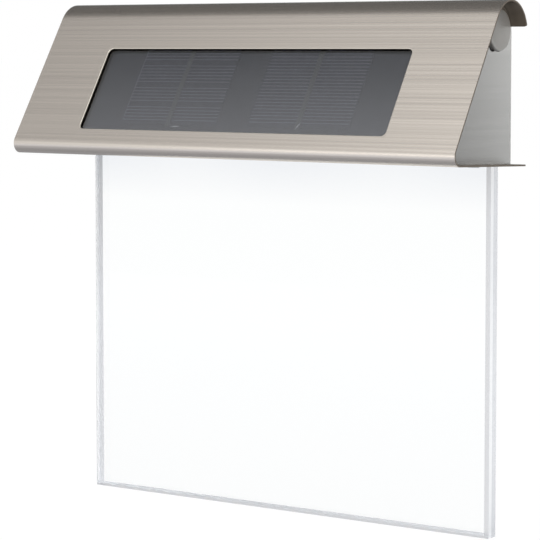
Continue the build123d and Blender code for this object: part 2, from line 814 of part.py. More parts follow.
with BuildPart() as battery_cell:
    with BuildSketch(battery_axis.offset(cell_tail_x)):
        Circle(cell_radius_aa)
    extrude(amount=cell_length_aa - cell_nub_length)
    fillet(battery_cell.edges().filter_by(GeomType.CIRCLE), cell_edge)
    with BuildSketch(battery_axis.offset(cell_front_x)):
        Circle(cell_nub_radius)
    extrude(amount=-cell_nub_length - cell_edge)
battery_cell.part.label = "battery_cell"
export_step(battery_cell.part, "parts/battery_cell.step")

# ---------------------------------------------------------------- clear plate and its light
rail_inside_front = plate_front_y - pad_thickness - pad_fit
rail_inside_rear = -plate_back + pad_thickness + pad_fit
rail_roof = plate_top + led_gap + led_height + led_board_thickness
clamp_places = [(side * clamp_spacing, clamp_height) for side in (-1, 0, 1)]

with BuildPart() as sign_plate:
    with BuildSketch(Plane.XY.offset(plate_bottom)):
        with Locations((0, plate_middle_y)):
            Rectangle(plate_width, plate_thickness)
    extrude(amount=plate_top - plate_bottom)
    outline_edges = sign_plate.faces().filter_by(Axis.Y).edges()
    chamfer(outline_edges, plate_bevel)
    with BuildSketch(back):
        with Locations(*clamp_places):
            Circle(m4_hole)
    extrude(amount=2 * (plate_back + plate_thickness), mode=Mode.SUBTRACT)
sign_plate.part.label = "sign_plate"
export_step(sign_plate.part, "parts/sign_plate.step")

pad_foot = rail_foot + pad_foot_gap
pad_top = plate_top - pad_top_gap
for pad_name, pad_y in (
    ("plate_pad_front", plate_front_y),
    ("plate_pad_rear", -plate_back + pad_thickness),
):
    with BuildPart() as plate_pad:
        with BuildSketch(back.offset(-pad_y)):
            with Locations((0, (pad_top + pad_foot) / 2)):
                Rectangle(plate_width - 2 * plate_bevel, pad_top - pad_foot)
            with Locations(*clamp_places):
                Circle(m4_hole, mode=Mode.SUBTRACT)
        extrude(amount=pad_thickness)
    plate_pad.part.label = pad_name
    export_step(plate_pad.part, f"parts/{pad_name}.step")

with BuildPart() as light_rail:
    # Folded channel over the plate's top edge, with a ledge that reaches back to the back plate.
    with BuildSketch(section):
        with BuildLine():
            Polyline(
                (rail_inside_front, rail_foot),
                (rail_inside_front, rail_roof),
                (rail_inside_rear, rail_roof),
                (rail_inside_rear, rail_foot),
                (rail_inside_rear + rail_wall, rail_foot),
                (rail_inside_rear + rail_wall, rail_roof),
                (-sheet, rail_roof),
                (-sheet, rail_roof + rail_wall),
                (rail_inside_front - rail_wall, rail_roof + rail_wall),
                (rail_inside_front - rail_wall, rail_foot),
                close=True,
            )
        make_face()
    extrude(amount=plate_width / 2, both=True)
    fillet(light_rail.edges().filter_by(Axis.X).group_by(Axis.Z)[-1].sort_by(Axis.Y)[0], rail_wall)
    # Three upright tabs on the back plate's studs.
    with BuildSketch(inside_back):
        with Locations(*[(side * clamp_spacing, rail_roof) for side in (-1, 0, 1)]):
            Rectangle(rail_tab_width, rail_tab_top - rail_roof, align=(Align.CENTER, Align.MIN))
    extrude(amount=rail_wall)
    with BuildSketch(inside_back):
        with Locations(*[(side * clamp_spacing, rail_stud_height) for side in (-1, 0, 1)]):
            Circle(m3_hole)
        with Locations(*clamp_places):
            Circle(m4_hole)
    extrude(amount=3 * plate_thickness, mode=Mode.SUBTRACT)
    # Two screws hold the light board, and its wires come up through two holes.
    with BuildSketch(Plane.XY.offset(rail_roof)):
        with Locations(*[(side * led_screw_spacing / 2, plate_middle_y) for side in (-1, 1)]):
            Circle(board_screw_radius + nut_fit)
        with Locations((panel_wire_x, plate_middle_y), (panel_wire_x - wire_pitch, plate_middle_y)):
            Circle(wire_radius + wire_hole_gap)
    extrude(amount=2 * rail_wall, mode=Mode.SUBTRACT)
light_rail.part.label = "light_rail"
export_step(light_rail.part, "parts/light_rail.step")

with BuildPart() as rail_nuts:
    with BuildSketch(inside_back.offset(rail_wall)):
        with Locations(*[(side * clamp_spacing, rail_stud_height) for side in (-1, 0, 1)]):
            RegularPolygon(across_flats(m3_nut_flats), 6)
            Circle(m3_radius + nut_fit, mode=Mode.SUBTRACT)
    extrude(amount=m3_nut_height)
rail_nuts.part.label = "rail_nuts"
export_step(rail_nuts.part, "parts/rail_nuts.step")

with BuildPart() as clamp_screws:
    # Pan-head screws through the channel and the plate.
    head_plane = back.offset(-(rail_inside_front - rail_wall))
    with BuildSketch(head_plane):
        with Locations(*clamp_places):
            Circle(clamp_head_radius)
    extrude(amount=clamp_head_height)
    head_rim = clamp_screws.faces().filter_by(Axis.Y).group_by(Axis.Y)[0].edges()
    fillet(head_rim, clamp_head_height / 2)
    with BuildSketch(head_plane):
        with Locations(*clamp_places):
            Circle(m4_radius)
    extrude(amount=-clamp_screw_length)
    with BuildSketch(head_plane.offset(clamp_head_height)):
        with Locations(*clamp_places):
            Rectangle(clamp_head_radius, cross_width)
            Rectangle(cross_width, clamp_head_radius)
    extrude(amount=-cross_depth, mode=Mode.SUBTRACT)
clamp_screws.part.label = "clamp_screws"
export_step(clamp_screws.part, "parts/clamp_screws.step")

with BuildPart() as clamp_nuts:
    with BuildSketch(back.offset(-(rail_inside_rear + rail_wall))):
        with Locations(*clamp_places):
            RegularPolygon(across_flats(m4_nut_flats), 6)
            Circle(m4_radius + nut_fit, mode=Mode.SUBTRACT)
    extrude(amount=-m4_nut_height)
clamp_nuts.part.label = "clamp_nuts"
export_step(clamp_nuts.part, "parts/clamp_nuts.step")

with BuildPart() as slot_gasket:
    # Rubber frame on the inside of the floor, round the plate.
    seal_rear = hood_screw_rear - collar_radius - seal_rear_gap
    with BuildSketch(inside_floor):
        with Locations((0, (seal_front + seal_rear) / 2)):
            Rectangle(2 * (end_plate_x - sheet - seal_end_gap), seal_rear - seal_front)
    extrude(amount=seal_thickness)
    with BuildSketch(Plane.XY.offset(-floor_drop)):
        with Locations((0, plate_middle_y)):
            Rectangle(plate_width + 2 * seal_fit, plate_thickness + 2 * seal_fit)
    extrude(amount=floor_drop / 2, mode=Mode.SUBTRACT)
slot_gasket.part.label = "slot_gasket"
export_step(slot_gasket.part, "parts/slot_gasket.step")

with BuildPart() as led_board:
    with BuildSketch(Plane.XY.offset(rail_roof)):
        with Locations((0, plate_middle_y)):
            Rectangle(led_board_length, led_board_width)
        with Locations(*[(side * led_screw_spacing / 2, plate_middle_y) for side in (-1, 1)]):
            Circle(board_screw_radius + board_screw_fit, mode=Mode.SUBTRACT)
    extrude(amount=-led_board_thickness)
led_board.part.label = "led_board"
export_step(led_board.part, "parts/led_board.step")

for side, led_name in ((-1, "led_left"), (1, "led_right")):
    with BuildPart() as led:
        # White package with a shallow well in its lower face.
        with BuildSketch(Plane.XY.offset(rail_roof - led_board_thickness)):
            with Locations((side * led_spacing / 2, plate_middle_y)):
                Rectangle(led_length, led_width)
        extrude(amount=-led_height)
        with BuildSketch(Plane.XY.offset(rail_roof - led_board_thickness - led_height)):
            with Locations((side * led_spacing / 2, plate_middle_y)):
                RectangleRounded(
                    led_length - 2 * led_well_rim, led_width - 2 * led_well_rim, led_well_rim
                )
        extrude(amount=led_well, taper=20, mode=Mode.SUBTRACT)
    led.part.label = led_name
    export_step(led.part, f"parts/{led_name}.step")

with BuildPart() as led_board_screws:
    led_screw_places = [(side * led_screw_spacing / 2, plate_middle_y) for side in (-1, 1)]
    led_face = rail_roof - led_board_thickness
    with BuildSketch(Plane.XY.offset(led_face)):
        with Locations(*led_screw_places):
            Circle(board_screw_head)
    extrude(amount=-led_screw_head_height)
    head_rim = led_board_screws.faces().filter_by(Axis.Z).group_by(Axis.Z)[0].edges()
    fillet(head_rim, led_screw_head_height / 2)
    with BuildSketch(Plane.XY.offset(led_face)):
        with Locations(*led_screw_places):
            Circle(board_screw_radius)
    extrude(amount=led_board_thickness + rail_wall + stud_spare)
led_board_screws.part.label = "led_board_screws"
export_step(led_board_screws.part, "parts/led_board_screws.step")

# ---------------------------------------------------------------- electronics on the floor
board_plane = inside_floor.offset(standoff_height)
board_top = board_plane.offset(control_thickness)

with BuildPart() as control_board:
    with BuildSketch(board_plane):
        with Locations((control_x, control_y)):
            RectangleRounded(control_length, control_width, control_corner)
        with Locations(*standoff_places):
            Circle(board_screw_radius + board_screw_fit, mode=Mode.SUBTRACT)
    extrude(amount=control_thickness)
control_board.part.label = "control_board"
export_step(control_board.part, "parts/control_board.step")

with BuildPart() as board_standoffs:
    # Clinched into the floor, flush with its underside.
    with BuildSketch(inside_floor):
        with Locations(*standoff_places):
            Circle(standoff_radius)
    extrude(amount=standoff_height)
    with BuildSketch(floor):
        with Locations(*standoff_places):
            Circle(standoff_spigot)
    extrude(amount=sheet)
    with BuildSketch(inside_floor):
        with Locations(*standoff_places):
            Circle(standoff_bore)
    extrude(amount=standoff_height, mode=Mode.SUBTRACT)
board_standoffs.part.label = "board_standoffs"
export_step(board_standoffs.part, "parts/board_standoffs.step")

with BuildPart() as board_screws:
    with BuildSketch(board_top):
        with Locations(*standoff_places):
            Circle(board_screw_head)
    extrude(amount=board_screw_head_height)
    fillet(board_screws.faces().filter_by(floor).group_by(Axis.Z)[-1].edges(), board_screw_edge)
    with BuildSketch(board_top):
        with Locations(*standoff_places):
            Circle(board_screw_radius)
    extrude(amount=-board_screw_length)
board_screws.part.label = "board_screws"
export_step(board_screws.part, "parts/board_screws.step")

with BuildPart() as controller_chip:
    with BuildSketch(board_top):
        with Locations((control_x + chip_offset, control_y)):
            Rectangle(chip_length, chip_width)
    extrude(amount=chip_height)
    chamfer(controller_chip.faces().filter_by(floor).sort_by(Axis.Z)[-1].edges(), edge_break)
controller_chip.part.label = "controller_chip"
export_step(controller_chip.part, "parts/controller_chip.step")

with BuildPart() as inductor:
    # Drum core: two flanges and a waist.
    for lift, radius, height in (
        (0, core_waist, core_height),
        (0, core_radius, core_flange),
        (core_height - core_flange, core_radius, core_flange),
    ):
        with BuildSketch(board_top.offset(lift)):
            with Locations((control_x + coil_offset, control_y + coil_depth)):
                Circle(radius)
        extrude(amount=height)
inductor.part.label = "inductor"
export_step(inductor.part, "parts/inductor.step")

with BuildPart() as capacitor:
    with BuildSketch(board_top):
        with Locations((control_x + capacitor_offset, control_y + capacitor_depth)):
            Circle(capacitor_radius)
    extrude(amount=capacitor_height)
    fillet(capacitor.edges().group_by(Axis.Z)[-1], capacitor_edge)
capacitor.part.label = "capacitor"
export_step(capacitor.part, "parts/capacitor.step")

sockets = {
    "led_socket": (control_x + socket_offset, control_y + led_socket_depth),
    "panel_socket": (control_x + socket_offset, control_y + panel_socket_depth),
    "battery_socket": (control_x + battery_socket_offset, control_y + battery_socket_depth),
}
for socket_name, socket_place in sockets.items():
    with BuildPart() as socket:
        with BuildSketch(board_top):
            with Locations(socket_place):
                Rectangle(wire_pitch + socket_width, socket_width)
        extrude(amount=socket_height)
        chamfer(socket.edges().filter_by(Axis.X).group_by(Axis.Z)[-1], edge_break)
    socket.part.label = socket_name
    export_step(socket.part, f"parts/{socket_name}.step")

with BuildPart() as switch_body:
    with BuildSketch(board_plane):
        with Locations((switch_x, switch_y)):
            Rectangle(switch_length, switch_width)
    extrude(amount=-switch_height)
    with BuildSketch(board_plane.offset(-switch_height)):
        with Locations((switch_x, switch_y)):
            Rectangle(knob_length + knob_travel + 2 * knob_gap, knob_width + 2 * knob_gap)
    extrude(amount=knob_root + knob_gap, mode=Mode.SUBTRACT)
switch_body.part.label = "switch_body"
export_step(switch_body.part, "parts/switch_body.step")

with BuildPart() as switch_knob:
    # At rest the knob stands at the left end of its travel.
    with BuildSketch(floor.offset(-knob_proud)):
        with Locations((switch_x - knob_travel / 2, switch_y)):
            Rectangle(knob_length, knob_width)
    extrude(amount=knob_proud + sheet + standoff_height - switch_height + knob_root)
    chamfer(switch_knob.edges().filter_by(floor).group_by(Axis.Z)[0], edge_break)
switch_knob.part.label = "switch_knob"
export_step(switch_knob.part, "parts/switch_knob.step")


# ---------------------------------------------------------------- wires inside the housing
def bend_radii(points):
    """As large a bend at each corner as its two runs leave room for."""
    radii = []
    for before, corner, after in zip(points, points[1:], points[2:]):
        run_in = corner - before
        run_out = after - corner
        turn = radians(run_in.get_angle(run_out))
        radii.append(0.45 * min(run_in.length, run_out.length) / tan(turn / 2))
    return radii


def on_plane(plane, x, y, lift=0):
    return plane.from_local_coords(Vector(x, y, lift))


panel_rear = inside_front.offset(-cell_board_back)
wire_routes = {}
for sign, polarity in ((0, "plus"), (1, "minus")):
    # From the solar board, back and down to its socket.
    pad_rise = (0.5 - sign) * wire_pitch
    socket_x, socket_y = sockets["panel_socket"]
    socket_x += (0.5 - sign) * wire_pitch
    wire_routes["panel_wire_" + polarity] = [
        on_plane(panel_rear, panel_wire_x, pad_rise),
        on_plane(panel_rear, panel_wire_x, pad_rise, -panel_wire_rise),
        on_plane(board_top, socket_x, socket_y, socket_height + socket_lead),
        on_plane(board_top, socket_x, socket_y, socket_height),
    ]
    # From a contact's solder tail, down to the battery's socket.
    tail_z = battery_z + contact_width if sign else side_contact_z
    turn_x = solder_x - tail_length - tail_offset * sign
    socket_x, socket_y = sockets["battery_socket"]
    socket_x += (0.5 - sign) * wire_pitch
    wire_routes["battery_wire_" + polarity] = [
        Vector(solder_x, battery_y, tail_z),
        Vector(turn_x, battery_y, tail_z),
        Vector(turn_x - tail_lean, battery_y - tail_forward, tail_z - tail_fall),
        on_plane(board_top, socket_x, socket_y, socket_height + socket_lead + lead_spread),
        on_plane(board_top, socket_x, socket_y, socket_height),
    ]
    # From the light board, up through the channel's roof and forward to its socket.
    x = panel_wire_x - sign * wire_pitch
    socket_x, socket_y = sockets["led_socket"]
    socket_x += (0.5 - sign) * wire_pitch
    wire_routes["led_wire_" + polarity] = [
        Vector(x, plate_middle_y, rail_roof),
        Vector(x, plate_middle_y, rail_roof + rail_lead),
        Vector((x + socket_x) / 2, plate_front_y - rail_forward, rail_roof + rail_lead_end),
        on_plane(board_top, socket_x, socket_y, socket_height + socket_lead - 2 * lead_spread),
        on_plane(board_top, socket_x, socket_y, socket_height),
    ]

for wire_name, points in wire_routes.items():
    radii = bend_radii(points)
    with BuildPart() as wire:
        with BuildLine() as route:
            FilletPolyline(*points, radius=radii)
        with BuildSketch(Plane(route.line @ 0, z_dir=route.line % 0)):
            Circle(wire_radius)
        sweep()
    wire.part.label = wire_name
    export_step(wire.part, f"parts/{wire_name}.step")
    path_length = sum(edge.length for edge in route.edges())
    ratio = wire.part.volume / (pi * wire_radius**2 * path_length)
    print(wire_name, round(path_length, 1), [round(r, 1) for r in radii], round(ratio, 3))
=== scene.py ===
from math import cos, radians, sin, tan

import bmesh
import bpy
from mathutils import Matrix, Vector


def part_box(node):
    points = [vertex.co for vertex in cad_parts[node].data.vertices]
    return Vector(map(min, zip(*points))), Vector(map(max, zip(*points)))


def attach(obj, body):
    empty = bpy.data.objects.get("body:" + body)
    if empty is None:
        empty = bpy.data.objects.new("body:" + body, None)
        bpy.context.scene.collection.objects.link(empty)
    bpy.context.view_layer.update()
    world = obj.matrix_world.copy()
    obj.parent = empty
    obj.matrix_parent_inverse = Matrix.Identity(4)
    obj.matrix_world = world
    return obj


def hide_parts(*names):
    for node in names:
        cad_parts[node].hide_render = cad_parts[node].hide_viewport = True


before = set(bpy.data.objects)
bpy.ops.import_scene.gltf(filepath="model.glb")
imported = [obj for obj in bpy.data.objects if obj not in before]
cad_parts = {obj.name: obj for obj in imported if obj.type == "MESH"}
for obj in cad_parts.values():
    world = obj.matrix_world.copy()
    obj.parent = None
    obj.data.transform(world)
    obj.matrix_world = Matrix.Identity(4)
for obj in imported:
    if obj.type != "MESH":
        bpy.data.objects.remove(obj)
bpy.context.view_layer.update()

bl_info = {
    "name": "Solar sign light",
    "version": (1, 0, 0),
    "blender": (4, 5, 0),
    "location": "3D View > Sidebar > Sign light",
    "description": "Dresses the packed solar sign light: hood, solar panel, battery drawer and clear plate",
    "category": "Object",
}

# The row frame is in metres: +X along the hood to the viewer's right, +Y into the wall, +Z up.
MM = 0.001
HOUSING = "light_body"
DRAWER = "battery_drawer"
SLIDER = "switch_slider"
SHEET = 0.8 * MM  # thickness of the stainless sheet
SMOOTH_BELOW = radians(32)  # angle between faces up to which they are shaded as one surface
BREAK_ABOVE = radians(40)  # angle between faces from which their edge is rounded
ROUGH_SPAN = (0.3, 0.7)  # the middle of a pattern, over which the roughness changes


def colour(code):
    """Linear RGBA of an sRGB hex colour such as "#B8B2AA"."""
    parts = [int(code[i : i + 2], 16) / 255 for i in (1, 3, 5)]
    return [p / 12.92 if p <= 0.04045 else ((p + 0.055) / 1.055) ** 2.4 for p in parts] + [1.0]


# ------------------------------------------------------------------ settings
def size_setting(name, description, default):
    return bpy.props.FloatProperty(name=name, description=description, default=default, unit="LENGTH")


def colour_setting(name, description, code):
    return bpy.props.FloatVectorProperty(
        name=name, description=description, size=4, subtype="COLOR", default=colour(code)
    )


class HoodSettings(bpy.types.PropertyGroup):
    """Sizes and colours of the folded stainless housing."""

    sheet: size_setting("Sheet", "Thickness of the stainless sheet", SHEET)
    curl_radius: size_setting("Curl radius", "Outside radius of the curled crest", 16 * MM)
    foot_radius: size_setting("Foot radius", "Outside radius of the bend at the foot", 5 * MM)
    window_corner: size_setting("Window corner", "Corner radius of the window", 2.8 * MM)
    edge_break: size_setting("Edge break", "Rounding of the cut edges", 0.14 * MM)
    steel: colour_setting("Steel", "Colour of the brushed stainless sheet", "#D3CBC2")
    # The inner side's colour is darker and browner than the steel's, a painted shade for the dark inside of
    # the hood.
    mill_steel_painted_shade: colour_setting("Inner side", "Colour of the sheet's unbrushed inner side", "#82786D")


class PanelSettings(bpy.types.PropertyGroup):
    """Sizes and colours of the solar panel."""

    finger_pitch: size_setting("Finger pitch", "From one printed silver line to the next", 1.86 * MM)
    finger_width: size_setting("Finger width", "Width of a printed silver line", 0.42 * MM)
    wafer: colour_setting("Wafer", "Colour of the coated silicon", "#292B34")
    pane: colour_setting("Pane", "Tint of the window's pane", "#A2A4AB")


class DrawerSettings(bpy.types.PropertyGroup):
    """Colours of the battery drawer."""

    plug: colour_setting("Plug", "Colour of the plug's paint", "#A19F9B")
    label: colour_setting("Cell sleeve", "Colour of the battery's plastic sleeve", "#2F7A55")


class PlateSettings(bpy.types.PropertyGroup):
    """Size and colour of the clear plate."""

    bevel: size_setting("Bevel", "Width of the buffed bevel", 1.6 * MM)
    acrylic: colour_setting("Acrylic", "Tint of the cast acrylic", "#FDFEFE")


class StageSettings(bpy.types.PropertyGroup):
    """Where the floor lies and how strong the studio's light is."""

    floor_height: size_setting("Floor height", "Height of the floor in the row frame", -0.30)
    ambient: bpy.props.FloatProperty(
        name="Ambient", description="Strength of the light from all round", default=0.62
    )


# ------------------------------------------------------------------ nodes
def add_node(tree, kind, sockets=None, **settings):
    """Adds a shader node with its settings, and returns its outputs. A socket gets a value, or a link from
    another node's output."""
    made = tree.nodes.new("ShaderNode" + kind)
    for name, value in settings.items():
        setattr(made, name, value)
    for socket, value in (sockets or {}).items():
        if isinstance(value, bpy.types.NodeSocket):
            tree.links.new(value, made.inputs[socket])
        else:
            made.inputs[socket].default_value = value
    return made.outputs


def new_material(name, **uniform):
    """A material whose shader has these values, named for its sockets with _ for a space."""
    made = bpy.data.materials.new(name)
    made.use_nodes = True
    shader = made.node_tree.nodes["Principled BSDF"]
    for socket, value in uniform.items():
        shader.inputs[socket.replace("_", " ")].default_value = value
    return made, made.node_tree, shader


def grain(tree, along, across, up, detail=2.0, distortion=0.0):
    """A pattern, 0 to 1, whose grains are this many millimetres long in X, Y and Z."""
    place = add_node(tree, "TexCoord")["Object"]
    scale = (1 / (along * MM), 1 / (across * MM), 1 / (up * MM))
    mapped = add_node(tree, "Mapping", {"Vector": place, "Scale": scale})[0]
    shape = {"Vector": mapped, "Scale": 1.0, "Detail": detail, "Distortion": distortion}
    return add_node(tree, "TexNoise", shape)[0]


def ramps(tree, *steps):
    """The product of ramps. Each has what it follows, its values at its start and its end, and where these
    are. It follows a node's output, or an axis of the row frame in metres."""
    product = None
    for followed, first, last, start, end in steps:
        if isinstance(followed, str):
            place = add_node(tree, "TexCoord")["Object"]
            followed = add_node(tree, "SeparateXYZ", {0: place})[followed]
        limits = {"From Min": start, "From Max": end, "To Min": first, "To Max": last}
        ramp = add_node(tree, "MapRange", {"Value": followed, **limits})[0]
        if product is None:
            product = ramp
        else:
            product = add_node(tree, "Math", {0: product, 1: ramp}, operation="MULTIPLY")[0]
    return product


def lay_pattern(tree, shader, pattern, tones=None, rough=None, bump=None):
    """Lets a pattern, 0 to 1, set a shader's colour between two tones, its roughness between two values over
    the middle of the pattern, and its relief, which has a depth in millimetres and a strength."""
    if tones:
        dark, light = (colour(tone) if isinstance(tone, str) else tone for tone in tones)
        mixed = add_node(tree, "Mix", {0: pattern, 6: dark, 7: light}, data_type="RGBA")[2]
        tree.links.new(mixed, shader.inputs["Base Color"])
    if rough:
        tree.links.new(ramps(tree, (pattern, *rough, *ROUGH_SPAN)), shader.inputs["Roughness"])
    if bump:
        relief = {"Height": pattern, "Distance": bump[0] * MM, "Strength": bump[1]}
        tree.links.new(add_node(tree, "Bump", relief)[0], shader.inputs["Normal"])


def patterned(name, sizes, tones, rough=None, bump=None, detail=2.0, distortion=0.0, **uniform):
    """A material with one grain, its sizes in millimetres. Its other values are the shader's own."""
    made, tree, shader = new_material(name, **uniform)
    lay_pattern(tree, shader, grain(tree, *sizes, detail, distortion), tones, rough, bump)
    return made


def shade(tint, share):
    """A colour made darker or lighter by a share of itself."""
    return [min(part * share, 1.0) for part in tint[:3]] + [1.0]


# ------------------------------------------------------------------ meshes and objects
def new_object(name, data):
    made = bpy.data.objects.new(name, data)
    bpy.context.scene.collection.objects.link(made)
    return made


def object_of(bm, name, material):
    """Turns a bmesh into an object at the origin."""
    mesh = bpy.data.meshes.new(name)
    bm.to_mesh(mesh)
    bm.free()
    mesh.materials.append(material)
    return new_object(name, mesh)


def place_piece(bm, name, material, replaces=(), body=HOUSING):
    """Turns a bmesh into a finished piece that rides on a body."""
    piece = object_of(bm, name, material)
    piece.data.shade_smooth()
    piece.data.set_sharp_from_angle(angle=SMOOTH_BELOW)
    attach(piece, body)
    if replaces:
        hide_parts(*replaces)
    return piece


def break_edges(piece, width, segments=2):
    """Rounds a piece's sharp edges, and keeps its flat faces flat."""
    bevel = piece.modifiers.new("edge_break", "BEVEL")
    bevel.width = width
    bevel.segments = segments
    bevel.limit_method = "ANGLE"
    bevel.angle_limit = BREAK_ABOVE
    bevel.use_clamp_overlap = True
    weighted = piece.modifiers.new("flat_faces", "WEIGHTED_NORMAL")
    weighted.keep_sharp = True
    weighted.weight = 100


def dressed_node(node, material, width, body=HOUSING):
    """A merged copy of a CAD node, its flat faces whole and its edges broken as on the real piece."""
    bm = bmesh.new()
    bm.from_mesh(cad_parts[node].data)
    bmesh.ops.remove_doubles(bm, verts=bm.verts, dist=0.001 * MM)
    bmesh.ops.dissolve_limit(bm, angle_limit=radians(0.4), verts=bm.verts, edges=bm.edges)
    piece = place_piece(bm, node + "_finished", material, (node,), body)
    break_edges(piece, width, segments=1)


def paint_nodes(material, *nodes):
    """Gives this material to CAD nodes that keep their own mesh."""
    for node in nodes:
        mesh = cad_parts[node].data
        mesh.materials.clear()
        mesh.materials.append(material)


def round_edges(bm, edges, width, segments=1, material=-1):
    """Rounds edges of a bmesh, or with one segment cuts them off flat, and returns the new faces."""
    return bmesh.ops.bevel(
        bm, geom=edges, offset=width, offset_type="OFFSET", affect="EDGES", segments=segments,
        profile=0.5, material=material,
    )["faces"]


def edges_along(bm, axis):
    """The edges of a bmesh that run along this axis."""
    return [e for e in bm.edges if abs((e.verts[1].co - e.verts[0].co).normalized().dot(axis)) > 0.99]


def spin_closed(bm, geom, middle, axis, steps):
    """Spins an outline once round an axis into a closed solid."""
    bmesh.ops.spin(
        bm, geom=geom, cent=middle, axis=axis, angle=radians(360), steps=steps, use_merge=True
    )
    bmesh.ops.remove_doubles(bm, verts=bm.verts, dist=0.002 * MM)
    bmesh.ops.recalc_face_normals(bm, faces=bm.faces)


def turned(bm, outline, start, axis, steps=64):
    """Adds a turned solid, from an outline of (along, radius) points."""
    side = Vector(axis).orthogonal().normalized()
    verts = [bm.verts.new(Vector(start) + Vector(axis) * along + side * r) for along, r in outline]
    edges = [bm.edges.new(pair) for pair in zip(verts, verts[1:])]
    spin_closed(bm, verts + edges, start, axis, steps)


def rounded(outline, corner, radius, steps):
    """An outline with the point at this index rounded by an arc."""
    before, here, after = (Vector(outline[corner + i]).to_2d() for i in (-1, 0, 1))
    into, out = (before - here).normalized(), (after - here).normalized()
    half = into.angle(out) / 2
    reach = radius / tan(half)
    middle = here + (into + out).normalized() * radius / sin(half)
    first, last = here + into * reach - middle, here + out * reach - middle
    sweep = first.angle_signed(last)
    arc = [middle + Matrix.Rotation(-sweep * i / steps, 2) @ first for i in range(steps + 1)]
    return outline[:corner] + [tuple(point) for point in arc] + outline[corner + 1 :]


def block(bm, size, centre, place=Matrix.Identity(4)):
    """A box of this size, set by its centre in the plane's own coordinates."""
    matrix = place @ Matrix.Translation(centre) @ Matrix.Diagonal((*size, 1))
    return bmesh.ops.create_cube(bm, size=1.0, matrix=matrix)["verts"]


# ------------------------------------------------------------------ places taken from the frame
HOOD_LOW, HOOD_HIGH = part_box("hood")
PLATE_LOW, PLATE_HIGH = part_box("sign_plate")
PLUG_LOW, PLUG_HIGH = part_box("battery_plug")
PANE_LOW, PANE_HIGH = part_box("solar_pane")
CELL_LOW, CELL_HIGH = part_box("battery_cell")
KNOB_LOW, KNOB_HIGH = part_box("switch_knob")
LED_LOW, LED_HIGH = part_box("led_right")

FRONT_TILT = radians(32.6)  # slope of the front, from the vertical
FLOOR_SLOPE = radians(2.0)
FLOOR_DROP = 34 * MM  # underside of the floor at the wall, below the keyholes
CURL_END = radians(13)
PANE_DEPTH = 2.4 * MM  # from the hood's outer skin to the middle of the pane
CELLS_DEPTH = SHEET + 2.8 * MM  # from the hood's outer skin to the cells' faces
LED_SPACING = LED_LOW.x + LED_HIGH.x
PAINTED_LIGHT_FAN_EDGES = (8 * MM, 50 * MM)  # how far off a LED its painted fan of light starts to fade, and where it is gone
PAINTED_SHADE_STRIP = (-57 * MM, -37 * MM)  # where the plate's painted shade, a greyer and bluer strip below the hood, ends, and where it is full
BUFFED_BACK = (PLATE_HIGH.y - 5.7 * MM, PLATE_HIGH.y - 5.5 * MM)  # where the edge's greyer rear part starts
PAINTED_SHEEN_REACH = (-20 * MM, 120 * MM)  # where along X the streaks' painted sheen starts to grow stronger, and where it is strongest
DRAWER_AXIS = Vector((0, (PLUG_LOW.y + PLUG_HIGH.y) / 2, (PLUG_LOW.z + PLUG_HIGH.z) / 2))
ALONG = Vector((1, 0, 0))


def plane(origin, up, normal):
    """Matrix of a plane on the row frame: its x is the row's X, its y is up, and its z is the normal."""
    matrix = Matrix.Identity(4)
    for column, axis in enumerate((ALONG, up, normal)):
        matrix.col[column].xyz = axis
    matrix.translation = origin
    return matrix


FRONT_NORMAL = Vector((0, -cos(FRONT_TILT), sin(FRONT_TILT)))
FRONT_UP = Vector((0, sin(FRONT_TILT), cos(FRONT_TILT)))
WINDOW_MIDDLE = (PANE_LOW + PANE_HIGH) / 2 + FRONT_NORMAL * PANE_DEPTH
FRONT = plane(WINDOW_MIDDLE, FRONT_UP, FRONT_NORMAL)
FLOOR_OUT = Vector((0, -cos(FLOOR_SLOPE), sin(FLOOR_SLOPE)))
FLOOR_DOWN = Vector((0, -sin(FLOOR_SLOPE), -cos(FLOOR_SLOPE)))
FLOOR = plane(Vector((0, 0, -FLOOR_DROP)), FLOOR_OUT, FLOOR_DOWN)
PLATE_FRONT = plane(Vector((0, PLATE_LOW.y, 0)), Vector((0, 0, 1)), Vector((0, -1, 0)))


def on_floor(node):
    """The middle of a CAD node in the floor's coordinates, where z runs down from the hood's underside."""
    low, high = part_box(node)
    return FLOOR.inverted() @ ((low + high) / 2)


# ------------------------------------------------------------------ materials
def brushed_stainless(name, tint, scratch, streak, smear=None, contrast=(0.35, 0.56)):
    """Stainless sheet, belt-brushed one way. Its long scratches break a reflection into streaks, and smear
    it across them. The streaks' contrast can grow towards the right end, a painted sheen that stands in for
    the stronger reflections there. The real scratches are 0.05 mm wide, too fine to show, so they are drawn
    0.6 to 0.7 mm wide."""
    steel, tree, shader = new_material(name, Metallic=1.0, Anisotropic=0.75)
    scratches = grain(tree, *scratch, detail=3.0)
    both = add_node(tree, "Math", {0: scratches, 1: grain(tree, *streak)}, operation="ADD")[0]
    marks = add_node(tree, "Math", {0: both, 1: 1.0}, operation="SUBTRACT")[0]
    # Painted sheen: the streaks' contrast grows along X, standing in for the stronger reflections towards
    # the right end.
    deep = ramps(tree, ("X", *contrast, *PAINTED_SHEEN_REACH))
    cut = add_node(tree, "Math", {0: marks, 1: deep}, operation="MULTIPLY")[0]
    tones = (shade(tint, 0.72), shade(tint, 1.28))
    lay_pattern(tree, shader, ramps(tree, (cut, 0.0, 1.0, -0.4, 0.4)), tones)
    tree.links.new(ramps(tree, (cut, 0.3, 0.22, -0.3, 0.3)), shader.inputs["Roughness"])
    # The smear runs across the scratches. Where none is given, it lies in the hood's cross-section.
    if smear is None:
        normal = add_node(tree, "NewGeometry")["Normal"]
        across = add_node(tree, "VectorMath", {0: normal, 1: ALONG}, operation="CROSS_PRODUCT")[0]
    else:
        across = add_node(tree, "CombineXYZ", dict(enumerate(smear)))[0]
    tree.links.new(across, shader.inputs["Tangent"])
    return steel


